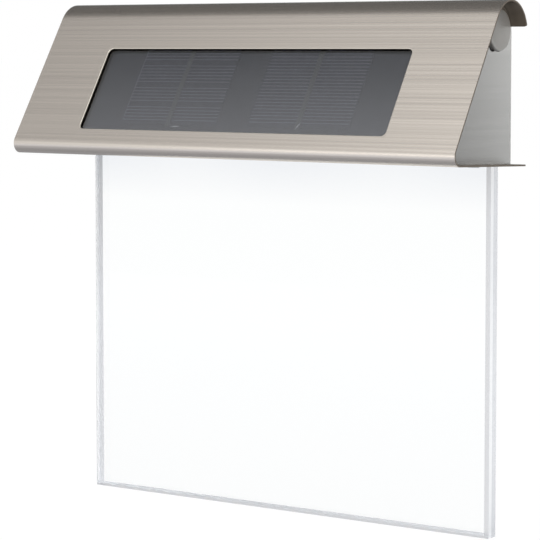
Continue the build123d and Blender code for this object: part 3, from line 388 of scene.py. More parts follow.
def mill_stainless_painted_shade(tint):
    """The sheet's inner side, left as it came from the mill and dull. Its colour is darker and a little
    brown, a painted shade and reflection of the dark inside of the housing.
    """
    tones = (shade(tint, 0.85), shade(tint, 1.15))
    return patterned("mill_finish_stainless_painted_shade", (30, 6, 6), tones, (0.38, 0.5), Metallic=1.0)


def sheared_edge_painted_shade(tint):
    """The sheet's cut edges: matt, with the fine marks of the shear. They are dark brown-grey, a painted
    shade, as on the edges and in the window's recess where shade falls.
    """
    tones = (shade(tint, 0.7), shade(tint, 1.1))
    return patterned("sheared_stainless_edge_painted_shade", (0.3, 0.3, 0.3), tones, (0.4, 0.55), Metallic=1.0)


def deburred_rim_painted_highlight():
    """The window's rim, rubbed smooth after it was cut, with fine marks along it. It is bright bare steel,
    paler than the sheet: a painted highlight along the rim.
    """
    tones = ("#E4DDCF", "#F3EDE0")
    return patterned("deburred_stainless_rim_painted_highlight", (2.5, 0.2, 0.2), tones, (0.35, 0.5), Metallic=1.0)


def zinc_plated():
    """Zinc-plated steel: pale, a little blue, satin with a fine mottle from the plating bath."""
    tones = ("#B9BDC2", "#D5D8DB")
    return patterned("zinc_plated_steel", (0.8, 0.8, 0.8), tones, (0.24, 0.38), detail=3.0, Metallic=1.0)


def foam_rubber():
    """Closed-cell EPDM foam: black, dull, with open skin pores about 0.3 mm across."""
    tones = ("#0A0A0B", "#1B1B1C")
    return patterned("epdm_foam", (0.3, 0.3, 0.3), tones, bump=(0.08, 0.6), Roughness=0.88)


def nitrile_rubber():
    """Nitrile O-ring: black, smooth from its mould, with a faint bloom."""
    rubber, tree, shader = new_material("nitrile_rubber", Roughness=0.42)
    lay_pattern(tree, shader, grain(tree, 2.5, 2.5, 2.5), ("#101011", "#1E1E1F"))
    lay_pattern(tree, shader, grain(tree, 0.2, 0.2, 0.2), bump=(0.01, 0.4))
    return rubber


def let_light_through(tree, surface, tint):
    """Lets light fall through a clear surface onto what lies behind it, dimmed by its tint."""
    path = add_node(tree, "LightPath")["Is Shadow Ray"]
    clear = add_node(tree, "BsdfTransparent", {"Color": tint})[0]
    mixed = add_node(tree, "MixShader", {0: path, 1: surface, 2: clear})[0]
    tree.links.new(mixed, tree.nodes["Material Output"].inputs["Surface"])


def polycarbonate_pane(tint):
    """Smoke-tinted polycarbonate sheet with a hard coat: clear over the cells, glossy, with the faint orange
    peel of extruded sheet."""
    pane, tree, shader = new_material(
        "smoked_polycarbonate", IOR=1.585, Transmission_Weight=1.0, Base_Color=tint, Coat_Weight=1.0,
        Coat_Roughness=0.03, Specular_Tint=(0.9, 0.93, 1.0, 1.0),
    )
    lay_pattern(tree, shader, grain(tree, 60, 30, 30, detail=1.0), rough=(0.04, 0.1))
    lay_pattern(tree, shader, grain(tree, 6, 6, 6, detail=0.0), bump=(0.004, 0.5))
    let_light_through(tree, shader.outputs[0], tint)
    return pane


def silicon_wafer(tint):
    """Monocrystalline silicon with a dark blue anti-reflection film, which varies in thickness over some
    20 mm and so drifts in hue."""
    silicon, tree, shader = new_material("coated_silicon", IOR=1.6)
    film = grain(tree, 22, 16, 16, detail=1.0)
    lay_pattern(tree, shader, film, (shade(tint, 0.9), shade(tint, 1.3)))
    lay_pattern(tree, shader, grain(tree, 0.6, 0.6, 0.6), rough=(0.18, 0.3))
    return silicon


def printed_silver():
    """Screen-printed silver paste: pale grey, dull, with a ragged half-tone edge from the mesh."""
    return patterned("printed_silver", (0.5, 0.2, 0.2), ("#8C8E99", "#A8AAB5"), Roughness=0.6)


def tinned_copper(name, *tones):
    """Copper ribbon dipped in solder, or a soldered joint: soft grey metal with flow marks along it."""
    return patterned(name, (1.5, 6, 6), tones, (0.3, 0.5), (0.03, 0.6), distortion=0.6, Metallic=1.0)


def spring_steel():
    """Nickel-plated spring strip: bright and faintly yellow, rolled along its length."""
    tones = ("#BDB49E", "#DAD2BE")
    return patterned("nickel_plated_spring", (12, 0.3, 0.6), tones, (0.18, 0.3), Metallic=1.0)


def black_abs():
    """ABS moulded against a spark-eroded tool: near black, satin, with a fine even texture."""
    plastic, tree, shader = new_material("black_abs", IOR=1.54)
    lay_pattern(tree, shader, grain(tree, 30, 12, 12), ("#141416", "#202022"))
    lay_pattern(tree, shader, grain(tree, 0.25, 0.25, 0.25), rough=(0.42, 0.58), bump=(0.02, 0.5))
    return plastic


def painted_abs(tint):
    """ABS sprayed silver-grey to go with the steel: a satin paint with fine metal flake in it."""
    paint, tree, shader = new_material(
        "silver_painted_abs", Metallic=0.55, Coat_Weight=0.25, Coat_Roughness=0.25
    )
    cloud = grain(tree, 14, 14, 14, detail=1.0)
    tones = {0: cloud, 6: shade(tint, 0.93), 7: shade(tint, 1.07)}
    coat = add_node(tree, "Mix", tones, data_type="RGBA")[2]
    flake = grain(tree, 0.15, 0.15, 0.15, detail=1.0)
    lay_pattern(tree, shader, flake, rough=(0.38, 0.5))
    lay_pattern(tree, shader, ramps(tree, (flake, 0.0, 0.5, 0.45, 0.75)), (coat, shade(tint, 1.35)))
    return paint


def white_nylon():
    """Glass-filled nylon connector shells: warm white, dull, a little uneven."""
    return patterned(
        "white_nylon", (1.2, 0.3, 0.3), ("#E3DFD2", "#F0EDE3"), (0.45, 0.6), IOR=1.53,
        Subsurface_Weight=0.1,
    )


def solder_masked_board(name, pitch, *tones):
    """Glass-epoxy board under solder mask: copper tracks show through as paler, raised paths, about a pitch
    in millimetres apart."""
    board, tree, shader = new_material(name, IOR=1.55, Roughness=0.32)
    place = add_node(tree, "TexCoord")["Object"]
    shape = {"Vector": place, "Scale": 1 / (pitch * MM), "Randomness": 0.35}
    cells = add_node(tree, "TexVoronoi", shape, distance="MANHATTAN", feature="F1")["Distance"]
    lay_pattern(tree, shader, ramps(tree, (cells, 1.0, 0.0, 0.36, 0.42)), tones, bump=(0.035, 0.6))
    return board


def led_package():
    """Moulded white reflector cup of a surface-mount LED, satin."""
    return patterned(
        "led_reflector_cup", (0.4, 0.4, 0.4), ("#EDECE6", "#F8F7F2"), IOR=1.5, Roughness=0.35
    )


def led_phosphor():
    """Silicone loaded with yellow phosphor over the chip: soft yellow, wet-looking."""
    return patterned(
        "led_phosphor", (0.25, 0.25, 0.25), ("#E2C83C", "#F0DC62"), Roughness=0.15,
        Emission_Color=colour("#EAF2FF"), Emission_Strength=0.6,
    )


def anodised_aluminium():
    """Natural anodised aluminium channel: matt silver with faint lines from the rolls."""
    tones = ("#C4C5C6", "#D9DADB")
    return patterned("anodised_aluminium", (90, 0.4, 0.4), tones, (0.38, 0.5), Metallic=1.0)


def clear_sheet(tree, shader):
    """Finishes a clear sheet. Where a ray has bounced in it more than five times, it shows a painted glow of
    pale white with a faint blue, for the light that keeps bouncing inside and comes out.
    """
    bounces = add_node(tree, "LightPath")["Ray Depth"]
    painted_glow_mask = add_node(tree, "Math", {0: bounces, 1: 5.5}, operation="GREATER_THAN")[0]
    # Painted glow: a pale emission in place of the light that keeps bouncing inside the sheet.
    glow = add_node(tree, "Emission", {"Color": colour("#F3F5F7")})[0]
    surface = add_node(tree, "MixShader", {0: painted_glow_mask, 1: shader.outputs[0], 2: glow})[0]
    let_light_through(tree, surface, colour("#F4F6F7"))


def cast_acrylic(tint):
    """Cast acrylic sheet: clear and colourless, faintly wavy. Just below the hood it is painted a little
    greyer and bluer, a painted shade, and less so in a painted pale fan of light below each of the two LEDs."""
    acrylic, tree, shader = new_material("cast_acrylic", IOR=1.49, Roughness=0.0, Transmission_Weight=1.0)
    lay_pattern(tree, shader, grain(tree, 55, 55, 55, detail=0.0), bump=(0.02, 0.3))
    along = add_node(tree, "SeparateXYZ", {0: add_node(tree, "TexCoord")["Object"]})["X"]
    from_middle = add_node(tree, "Math", {0: along}, operation="ABSOLUTE")[0]
    from_led = add_node(tree, "Math", {0: from_middle, 1: LED_SPACING / 2}, operation="SUBTRACT")[0]
    off_fan = add_node(tree, "Math", {0: from_led}, operation="ABSOLUTE")[0]
    # Painted shade and light: a greyer, bluer tint below the hood, paler in a fan below each LED.
    painted_shade_and_fans = ramps(tree, (off_fan, 0.72, 1.0, *PAINTED_LIGHT_FAN_EDGES), ("Z", 0.0, 1.0, *PAINTED_SHADE_STRIP))
    lay_pattern(tree, shader, painted_shade_and_fans, (tint, "#F0F2F5"))
    clear_sheet(tree, shader)
    return acrylic


def buffed_edge(name, front_tones, rear_tones, clear, glow=0.0):
    """The sheet's edges, sawn and buffed: partly clear, partly a soft white with the saw's faint upright
    marks. The rear part can be greyer. The edge can have a faint painted glow, which stands in for the LEDs'
    light leaving there."""
    edge, tree, shader = new_material(
        name, IOR=1.49, Roughness=0.16, Transmission_Weight=clear, Emission_Color=colour("#F1F5FC"),
        Emission_Strength=glow,
    )
    saw = grain(tree, 0.5, 6, 0.5)
    bright, dull = (
        add_node(tree, "Mix", {0: saw, 6: colour(dark), 7: colour(light)}, data_type="RGBA")[2]
        for dark, light in (front_tones, rear_tones)
    )
    lay_pattern(tree, shader, ramps(tree, ("Y", 0.0, 1.0, *BUFFED_BACK)), (bright, dull))
    clear_sheet(tree, shader)
    return edge


def cell_sleeve(tint):
    """Shrunk PVC sleeve of a rechargeable AA cell: glossy, green, with a plain paler band at its tail."""
    sleeve, tree, shader = new_material(
        "battery_sleeve", IOR=1.53, Roughness=0.22, Coat_Weight=0.5, Coat_Roughness=0.08
    )
    tones = {0: grain(tree, 18, 4, 4), 6: shade(tint, 0.9), 7: shade(tint, 1.1)}
    wrap = add_node(tree, "Mix", tones, data_type="RGBA")[2]
    band_end = CELL_LOW.x + 0.16 * (CELL_HIGH.x - CELL_LOW.x)
    band = ramps(tree, ("X", 1.0, 0.0, band_end, band_end + 0.2 * MM))
    lay_pattern(tree, shader, band, (wrap, "#C9D2C4"))
    lay_pattern(tree, shader, grain(tree, 8, 2.5, 2.5, detail=1.0), bump=(0.03, 0.4))
    return sleeve


def epoxy_package():
    """Black epoxy of a chip or a ferrite core: matt, faintly speckled with filler."""
    tones = ("#161617", "#2A2A2B")
    return patterned("black_epoxy", (0.12, 0.12, 0.12), tones, bump=(0.01, 0.4), Roughness=0.6)


def capacitor_sleeve():
    """Aluminium can in a dark blue shrunk sleeve: smooth, half gloss."""
    return patterned(
        "capacitor_sleeve", (1.2, 1.2, 4), ("#1B2238", "#27304A"), (0.25, 0.38), IOR=1.53,
        Coat_Weight=0.3,
    )


def enamelled_copper():
    """Copper magnet wire under clear enamel: deep orange-brown and glossy."""
    return patterned(
        "enamelled_copper", (3, 3, 0.4), ("#A4562B", "#C4713B"), (0.22, 0.34), Metallic=1.0,
        Coat_Weight=0.6,
    )


def wire_insulation(name, *tones):
    """PVC insulation drawn over stranded wire: satin, the strands' lay just telling through it."""
    return patterned(
        name, (1.0, 1.0, 0.5), tones, bump=(0.02, 0.4), distortion=0.5, IOR=1.53, Roughness=0.45
    )


# ------------------------------------------------------------------ the hood
# The inner side and the cut edges are painted darker, as shade, and the window's rim paler, as a highlight.
OUTSIDE, SHADED_INSIDE, SHADED_CUT_EDGE, WINDOW_RIM_HIGHLIGHT = 0, 1, 2, 3  # material slots of the hood
WINDOW_SIZE = (181 * MM, 47.8 * MM)
SWITCH_SLOT = (6.6 * MM, 3.0 * MM)
SWITCH_TRAVEL = 3 * MM
SLOT_MARGIN = 1.2 * MM  # by which the plate's slot is longer and wider than the plate
RIM_ROUNDING = 0.3 * MM
CORNER_ROUNDING = 1.5 * MM
CURL_STEPS, FOOT_STEPS = 56, 28

# Holes through the floor, each with its x, its distance from the wall and its radius: four for the hood's
# screws and four for the control board's standoffs.
SCREW_HOLES = [
    (side * x * MM, y * MM, 1.7 * MM) for side in (-1, 1) for x, y in ((116.4, 27.5), (60, 3.4))
]
STANDOFF_HOLES = [((60 + x) * MM, y * MM, 2.1 * MM) for x in (-35, 35) for y in (29, 49)]


def cut_opening(bm, place, middle, size, corner=0.0, steps=8, reach=3 * MM, wall=SHADED_CUT_EDGE, rear=SHADED_INSIDE):
    """Cuts a rectangular opening through the sheet that lies in this plane, and rounds its corners. Both of
    the sheet's faces lie within reach of the plane. The walls get one material slot, and the rear face's new
    corners the other."""
    back = place.inverted()
    normal = place.col[2].xyz
    low = Vector(middle) - Vector(size) / 2
    high = Vector(middle) + Vector(size) / 2

    def faces_there():
        chosen = []
        for face in bm.faces:
            spots = [back @ vert.co for vert in face.verts]
            spans = [(min(s[i] for s in spots), max(s[i] for s in spots)) for i in (0, 1)]
            lies_in_sheet = abs(face.normal.dot(normal)) > 0.999 and max(abs(s.z) for s in spots) < reach
            if lies_in_sheet and all(spans[i][0] < middle[i] < spans[i][1] for i in (0, 1)):
                chosen.append(face)
        return chosen

    for axis in (0, 1):
        for limit in (low[axis], high[axis]):
            faces = faces_there()
            spot = Vector((0, 0, 0))
            spot[axis] = limit
            edges = {edge for face in faces for edge in face.edges}
            verts = {vert for face in faces for vert in face.verts}
            bmesh.ops.bisect_plane(
                bm, geom=[*faces, *edges, *verts], dist=0.0005 * MM, plane_co=place @ spot,
                plane_no=place.col[axis].xyz,
            )
    bmesh.ops.delete(bm, geom=faces_there(), context="FACES")
    rims = [edge for edge in bm.edges if edge.is_boundary]
    walls = bmesh.ops.bridge_loops(bm, edges=rims)["faces"]
    for face in walls:
        face.material_index = wall
    if not corner:
        return
    upright = set(edges_along(bm, normal)) & {edge for face in walls for edge in face.edges}
    corners = [edge for edge in upright if edge.calc_face_angle(0) > radians(60)]
    for face in round_edges(bm, corners, corner, steps):
        heights = [(back @ vert.co).z for vert in face.verts]
        flat = max(heights) - min(heights) < 0.1 * MM
        skin = OUTSIDE if min(heights) > -0.1 * MM else rear
        face.material_index = skin if flat else wall


def round_window_rim(bm, width):
    """Rounds the window's edge where it meets the outer skin."""
    back = FRONT.inverted()
    bm.normal_update()
    rim = [
        edge
        for edge in bm.edges
        if all(abs((back @ vert.co).z) < 0.01 * MM for vert in edge.verts)
        and any(abs(face.normal.dot(FRONT_NORMAL)) < 0.1 for face in edge.link_faces)
        and max(abs((back @ vert.co).x) for vert in edge.verts) < WINDOW_SIZE[0] / 2 + 1 * MM
    ]
    # The rounded rim gets the paler rim colour, a painted highlight.
    round_edges(bm, rim, width, 3, WINDOW_RIM_HIGHLIGHT)


def bend(bm, vert, middle, sweep, steps):
    """Carries a corner of the hood's section round a bend, and returns the bend's last corner."""
    arc = bmesh.ops.spin(bm, geom=[vert], cent=middle, axis=ALONG, angle=sweep, steps=steps)
    return [item for item in arc["geom_last"] if isinstance(item, bmesh.types.BMVert)][0]


def hood_mesh(settings):
    """The bent sheet: curl, sloped front, foot bend and floor, with its window, slots and holes."""
    bm = bmesh.new()
    radius, foot = settings.curl_radius, settings.foot_radius
    left = HOOD_LOW.x
    curl_middle = Vector((left, -radius, HOOD_HIGH.z - radius))
    # The middle of the foot's bend lies one radius inside the front's and the floor's outer skins.
    on_front = curl_middle.yz + FRONT_NORMAL.yz * (radius - foot)
    above_floor = Vector((0, -FLOOR_DROP + foot / cos(FLOOR_SLOPE)))
    gap = above_floor - on_front
    drop = gap.cross(FLOOR_OUT.yz) / FRONT_UP.yz.cross(FLOOR_OUT.yz)
    foot_middle = Vector((left, *(on_front + FRONT_UP.yz * drop)))
    tip = curl_middle + Vector((0, cos(CURL_END), sin(CURL_END))) * radius
    curl_sweep = radians(180) - FRONT_TILT - CURL_END
    front_top = bend(bm, bm.verts.new(tip), curl_middle, curl_sweep, CURL_STEPS)
    front_foot = bm.verts.new(foot_middle + FRONT_NORMAL * foot)
    bm.edges.new((front_top, front_foot))
    foot_sweep = radians(90) + FRONT_TILT - FLOOR_SLOPE
    floor_front = bend(bm, front_foot, foot_middle, foot_sweep, FOOT_STEPS)
    bm.edges.new((floor_front, bm.verts.new((left, 0, -FLOOR_DROP))))
    bmesh.ops.remove_doubles(bm, verts=bm.verts, dist=0.001 * MM)
    swept = bmesh.ops.extrude_edge_only(bm, edges=bm.edges[:])
    moved = [item for item in swept["geom"] if isinstance(item, bmesh.types.BMVert)]
    bmesh.ops.translate(bm, verts=moved, vec=(HOOD_HIGH.x - left, 0, 0))
    bmesh.ops.recalc_face_normals(bm, faces=bm.faces)
    front_face = max(bm.faces, key=lambda face: face.calc_area())
    if front_face.normal.dot(FRONT_NORMAL) < 0:
        bmesh.ops.reverse_faces(bm, faces=bm.faces)
    bmesh.ops.solidify(bm, geom=bm.faces[:], thickness=settings.sheet)
    within = Vector((0, -20 * MM, 0))  # a place inside the housing, which the sheet's inner side faces
    # The cut ends and rear edges get the dark edge material, and the sheet's inner side the darker inner
    # one: both are painted shade.
    for face in bm.faces:
        centre = face.calc_center_median()
        at_rear = centre.y > -0.1 * MM or (centre - tip).yz.length < 0.5 * MM
        if abs(face.normal.x) > 0.9 or at_rear:
            face.material_index = SHADED_CUT_EDGE
        elif face.normal.dot(centre - within) < 0:
            face.material_index = SHADED_INSIDE
    for vert in bm.verts:
        vert.co.y = min(vert.co.y, 0)
    # Rounded corners at the curl's tip and at the floor's rear edge.
    short = [
        edge
        for edge in bm.edges
        if abs(edge.calc_length() - settings.sheet) < 0.02 * MM
        and abs(edge.verts[0].co.x - edge.verts[1].co.x) < 0.01 * MM
        and edge.calc_face_angle(0) > radians(80)
        and min(abs(edge.verts[0].co.y), (edge.verts[0].co - tip).yz.length) < 2 * MM
    ]
    round_edges(bm, short, CORNER_ROUNDING, 6)
    # Openings: window, plate slot, holes for screws and standoffs, and the switch's slot.
    cut_opening(bm, FRONT, (0, 0), WINDOW_SIZE, settings.window_corner, 10)
    round_window_rim(bm, RIM_ROUNDING)
    plate_size = PLATE_HIGH - PLATE_LOW
    slot_size = (plate_size.x + SLOT_MARGIN, plate_size.y + SLOT_MARGIN)
    cut_opening(bm, FLOOR, (0, -(PLATE_LOW.y + PLATE_HIGH.y) / 2), slot_size)
    for hole_x, hole_y, hole_radius in SCREW_HOLES + STANDOFF_HOLES:
        hole_size = (2 * hole_radius, 2 * hole_radius)
        cut_opening(bm, FLOOR, (hole_x, hole_y), hole_size, 0.995 * hole_radius, 6)
    knob = (KNOB_LOW + KNOB_HIGH) / 2
    cut_opening(bm, FLOOR, (knob.x + SWITCH_TRAVEL / 2, -knob.y), SWITCH_SLOT, 0.5 * MM, 4)
    bmesh.ops.recalc_face_normals(bm, faces=bm.faces)
    return bm


class SIGNLIGHT_OT_hood(bpy.types.Operator):
    """Makes the folded stainless hood, with its brushed grain along its length"""

    bl_idname = "signlight.hood"
    bl_label = "Hood"

    def execute(self, context):
        settings = context.scene.sign_hood
        inner = list(settings.mill_steel_painted_shade)
        steel = brushed_stainless(
            "brushed_stainless_hood", list(settings.steel), (500, 0.7, 0.7), (900, 1.6, 1.6)
        )
        hood = place_piece(hood_mesh(settings), "hood_sheet", steel, ("hood",))
        # The inner side and the cut edges take the darker inner colour, painted shade; the window's rim gets
        # a painted highlight.
        for material in (mill_stainless_painted_shade(inner), sheared_edge_painted_shade(inner), deburred_rim_painted_highlight()):
            hood.data.materials.append(material)
        break_edges(hood, settings.edge_break)
        return {"FINISHED"}


class SIGNLIGHT_OT_chassis(bpy.types.Operator):
    """Finishes the folded chassis, its screws and its nuts"""

    bl_idname = "signlight.chassis"
    bl_label = "Chassis and fasteners"

    def execute(self, context):
        steel = brushed_stainless(
            "brushed_stainless_chassis", colour("#C9C9C7"), (120, 120, 0.6), (300, 300, 2.5),
            smear=(0, 0, 1), contrast=(0.3, 0.3),
        )
        dressed_node("back_chassis", steel, 0.1 * MM)
        zinc = zinc_plated()
        dressed_node("hood_screws", zinc, 0.08 * MM)
        paint_nodes(
            zinc, "panel_nuts", "tube_nuts", "rail_nuts", "clamp_screws", "clamp_nuts",
            "led_board_screws", "board_screws", "board_standoffs",
        )
        return {"FINISHED"}


# ------------------------------------------------------------------ the solar panel
CELL_SIZE = (59 * MM, 44 * MM)
CELL_SPACING = 77 * MM
CELL_SHIFT = Vector((0.2 * MM, 2.8 * MM))
RIBBON_WIDTH = 3 * MM
PRINT_HEIGHT = 0.02 * MM
CORNER_CHIP = 0.8 * MM
FINGER_COUNT = 23
MISSING_FINGERS = {-1: (4, 11, 17), 1: ()}  # gaps in the left cell's print, counted from the top
JOINING_LINE = 0.45 * MM  # width of the line that joins the left cell's fingers
STUD_PLACES = [(x * MM, y * MM) for x in (-101.4, 101.4) for y in (-14, 14)]
# The ribbons' soldered ends: where each lies on the front, its turn in degrees and its length.
TABS = ((-33.0, -20.0, 2, 6.2), (39.0, -18.1, 62, 4.6))


def cell_middle(side):
    return Vector((CELL_SHIFT.x + side * CELL_SPACING / 2, CELL_SHIFT.y))


def wafer_mesh(side):
    """One silicon wafer with broken corners."""
    bm = bmesh.new()
    thickness = 0.3 * MM
    block(bm, (*CELL_SIZE, thickness), (*cell_middle(side), -CELLS_DEPTH - thickness / 2), FRONT)
    round_edges(bm, edges_along(bm, FRONT_NORMAL), CORNER_CHIP)
    return bm


def finger_mesh(side, settings):
    """The printed lines across one cell, on both sides of its ribbon. The left cell has a line that joins
    their ends."""
    bm = bmesh.new()
    middle = cell_middle(side)
    depth = -CELLS_DEPTH + PRINT_HEIGHT / 2
    reach = (CELL_SIZE[0] - RIBBON_WIDTH) / 2 - CORNER_CHIP
    top = middle.y + CELL_SIZE[1] / 2 - 0.3 * MM
    for number in range(FINGER_COUNT):
        if number in MISSING_FINGERS[side]:
            continue
        for half in (-1, 1):
            x = middle.x + half * (RIBBON_WIDTH + reach) / 2
            y = top - number * settings.finger_pitch
            block(bm, (reach, settings.finger_width, PRINT_HEIGHT), (x, y, depth), FRONT)
    if side < 0:
        length = (FINGER_COUNT - 1) * settings.finger_pitch
        x = middle.x - RIBBON_WIDTH / 2 - reach
        block(bm, (JOINING_LINE, length, PRINT_HEIGHT), (x, top - length / 2, depth), FRONT)
    return bm


def ribbon_mesh():
    """Two solder-dipped ribbons, slightly wavy, each run off its cell's lower edge."""
    bm = bmesh.new()
    drop, thickness = 1 * MM, 0.1 * MM
    for side in (-1, 1):
        middle = cell_middle(side)
        centre = (middle.x, middle.y - drop, -CELLS_DEPTH + thickness / 2)
        verts = block(bm, (RIBBON_WIDTH - 0.15 * MM, CELL_SIZE[1], thickness), centre, FRONT)
        edges = {edge for vert in verts for edge in vert.link_edges}
        long_edges = [edge for edge in edges if edge.calc_length() > 10 * MM]
        bmesh.ops.subdivide_edges(bm, edges=long_edges, cuts=24, use_grid_fill=True)
    for vert in bm.verts:
        along = (vert.co - WINDOW_MIDDLE).dot(FRONT_UP)
        vert.co += FRONT_NORMAL * 0.03 * MM * (1 + sin(along / (2.6 * MM)))
    return bm


def tab_mesh():
    """The bright ends of the two ribbons, soldered to the board below the cells: one lies straight across,
    the other went on askew."""
    bm = bmesh.new()
    for x, y, turn, length in TABS:
        matrix = (
            FRONT
            @ Matrix.Translation((x * MM, y * MM, -CELLS_DEPTH + 0.12 * MM))
            @ Matrix.Rotation(radians(turn), 4, "Z")
            @ Matrix.Diagonal((length * MM, 0.7 * MM, 0.18 * MM, 1))
        )
        bmesh.ops.create_uvsphere(bm, u_segments=16, v_segments=8, radius=0.5, matrix=matrix)
    return bm


def stud_mesh():
    """Four threaded weld studs inside the front, which carry the panel's tray."""
    bm = bmesh.new()
    length, pitch, crest, root = 5.5 * MM, 0.5 * MM, 1.5 * MM, 1.28 * MM
    outline = [(0, 0), (0, crest)]
    for turn in range(int(length / pitch)):
        outline += [((turn + 0.5) * pitch, root), ((turn + 1) * pitch, crest)]
    outline += [(length, 0)]
    for place in STUD_PLACES:
        turned(bm, outline, FRONT @ Vector((*place, -SHEET)), -FRONT_NORMAL, 24)
    return bm


class SIGNLIGHT_OT_solar_panel(bpy.types.Operator):
    """Makes the pane, its foam gasket, the two cells with their printed lines, and the tray's studs"""

    bl_idname = "signlight.solar_panel"
    bl_label = "Solar panel"

    def execute(self, context):
        settings = context.scene.sign_panel
        dressed_node("pane_gasket", foam_rubber(), 0.2 * MM)
        dressed_node("solar_pane", polycarbonate_pane(list(settings.pane)), 0.15 * MM)
        wafer, paste = silicon_wafer(list(settings.wafer)), printed_silver()
        ribbon = tinned_copper("ribbon_tin", "#6E6F64", "#7E7F73")
        solder = tinned_copper("bright_solder", "#D8D8D4", "#F2F2EE")
        for side, node in ((-1, "solar_cell_left"), (1, "solar_cell_right")):
            place_piece(wafer_mesh(side), node + "_wafer", wafer, (node,))
            place_piece(finger_mesh(side, settings), node + "_fingers", paste)
        place_piece(ribbon_mesh(), "ribbon_strips", ribbon, ("cell_ribbons",))
        place_piece(tab_mesh(), "ribbon_tabs", solder)
        place_piece(stud_mesh(), "panel_studs", zinc_plated())
        paint_nodes(solder_masked_board("black_solder_mask", 5.0, "#272729", "#2F2F31"), "cell_board")
        paint_nodes(black_abs(), "panel_tray")
        return {"FINISHED"}


# ------------------------------------------------------------------ the battery drawer
SLEEVE_EDGE = 6.2 * MM  # radius to which the sleeve reaches in over the cell's ends


def plug_mesh():
    """The drawer's plug: a flat face with a rounded edge, a flange, a neck with the O-ring's groove, and a
    back.
    """
    face, back = PLUG_HIGH.x, PLUG_LOW.x
    seat = back + 8 * MM
    flange, neck, groove = 10 * MM, 9.4 * MM, 7.6 * MM  # radii
    groove_back, groove_front = seat - 5.2 * MM, seat - 3.0 * MM
    outline = [
        (back, 0), (back, neck), (groove_back, neck), (groove_back, groove), (groove_front, groove),
        (groove_front, neck), (seat, neck), (seat, flange), (face, flange), (face, 0),
    ]
    outline = rounded(outline, 8, 1.0 * MM, 8)
    outline = rounded(outline, 7, 0.2 * MM, 2)
    outline = rounded(outline, 1, 0.4 * MM, 3)
    bm = bmesh.new()
    turned(bm, outline, DRAWER_AXIS, ALONG, 96)
    return bm


def ring_mesh():
    """The O-ring."""
    low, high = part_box("plug_o_ring")
    radius = (high.x - low.x) / 2
    top = Vector(((low.x + high.x) / 2, DRAWER_AXIS.y, high.z - radius))
    matrix = Matrix.Translation(top) @ Matrix.Rotation(radians(90), 4, "X")
    bm = bmesh.new()
    bmesh.ops.create_circle(bm, segments=24, radius=radius, matrix=matrix)
    spin_closed(bm, bm.verts[:] + bm.edges[:], DRAWER_AXIS, ALONG, 96)
    return bm


def cell_mesh():
    """An AA cell: rolled can, crimp groove, shoulder, insulating ring and raised cap."""
    radius = (CELL_HIGH.z - CELL_LOW.z) / 2 / MM
    tail, cap = CELL_LOW.x / MM, CELL_HIGH.x / MM
    shoulder = cap - 1.3
    outline = [
        (tail, 0), (tail, radius - 1.1), (tail + 0.3, radius - 0.8), (tail, radius - 0.5),
        (tail + 0.5, radius), (shoulder - 3.4, radius), (shoulder - 3.0, radius - 0.35),
        (shoulder - 2.6, radius), (shoulder - 0.5, radius), (shoulder, radius - 0.6),
        (shoulder, radius - 1.5), (shoulder - 0.3, radius - 1.7), (shoulder - 0.3, 3.0),
        (shoulder, 2.75), (cap - 0.3, 2.75), (cap, 2.4), (cap, 0),
    ]
    bm = bmesh.new()
    turned(bm, [(along * MM, off * MM) for along, off in outline], DRAWER_AXIS, ALONG, 72)
    return bm


class SIGNLIGHT_OT_battery_drawer(bpy.types.Operator):
    """Makes the plug, its O-ring and the AA cell, and finishes the trough, the strips and the tube"""

    bl_idname = "signlight.battery_drawer"
    bl_label = "Battery drawer"

    def execute(self, context):
        settings = context.scene.sign_drawer
        paint, rubber = painted_abs(list(settings.plug)), nitrile_rubber()
        place_piece(plug_mesh(), "drawer_plug", paint, ("battery_plug",), DRAWER)
        place_piece(ring_mesh(), "drawer_o_ring", rubber, ("plug_o_ring",), DRAWER)
        sleeve = cell_sleeve(list(settings.label))
        cell = place_piece(cell_mesh(), "aa_cell", sleeve, ("battery_cell",), DRAWER)
        # The can's two ends are bare plated steel, inside the sleeve's edge.
        cell.data.materials.append(zinc_plated())
        for face in cell.data.polygons:
            off_axis = (Vector(face.center) - DRAWER_AXIS).yz.length
            at_end = face.center.x > CELL_HIGH.x - 2 * MM or face.center.x < CELL_LOW.x + 1 * MM
            if at_end and off_axis < SLEEVE_EDGE:
                face.material_index = 1
        moulding = black_abs()
        dressed_node("cell_cradle", moulding, 0.15 * MM, DRAWER)
        paint_nodes(moulding, "battery_tube")
        paint_nodes(spring_steel(), "tail_contact", "side_contact", "drawer_strip")
        return {"FINISHED"}


# ------------------------------------------------------------------ the clear plate and its light
CLAMP_SPACING = 108 * MM
CLAMP_HEIGHT = -22 * MM
CLAMP_HOLE = 2.2 * MM  # radius


def plate_mesh(settings):
    """The clear plate: a slab with bevels round both faces and three holes for the clamp screws."""
    bm = bmesh.new()
    size = PLATE_HIGH - PLATE_LOW
    block(bm, size, (PLATE_LOW + PLATE_HIGH) / 2)
    through = set(edges_along(bm, Vector((0, 1, 0))))
    round_edges(bm, [edge for edge in bm.edges if edge not in through], settings.bevel)
    for side in (-1, 0, 1):
        cut_opening(
            bm, PLATE_FRONT, (side * CLAMP_SPACING, CLAMP_HEIGHT), (2 * CLAMP_HOLE, 2 * CLAMP_HOLE),
            0.995 * CLAMP_HOLE, 6, reach=size.y + 1 * MM, rear=OUTSIDE,
        )
    bmesh.ops.recalc_face_normals(bm, faces=bm.faces)
    return bm


def phosphor_mesh(node):
    """The filled well in a LED's face, with soft edges."""
    low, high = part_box(node)
    bm = bmesh.new()
    size = (3.6 * MM, 2.1 * MM, 0.34 * MM)
    block(bm, size, ((low.x + high.x) / 2, (low.y + high.y) / 2, low.z + 0.21 * MM))
    round_edges(bm, bm.edges[:], 0.12 * MM, 2)
    return bm


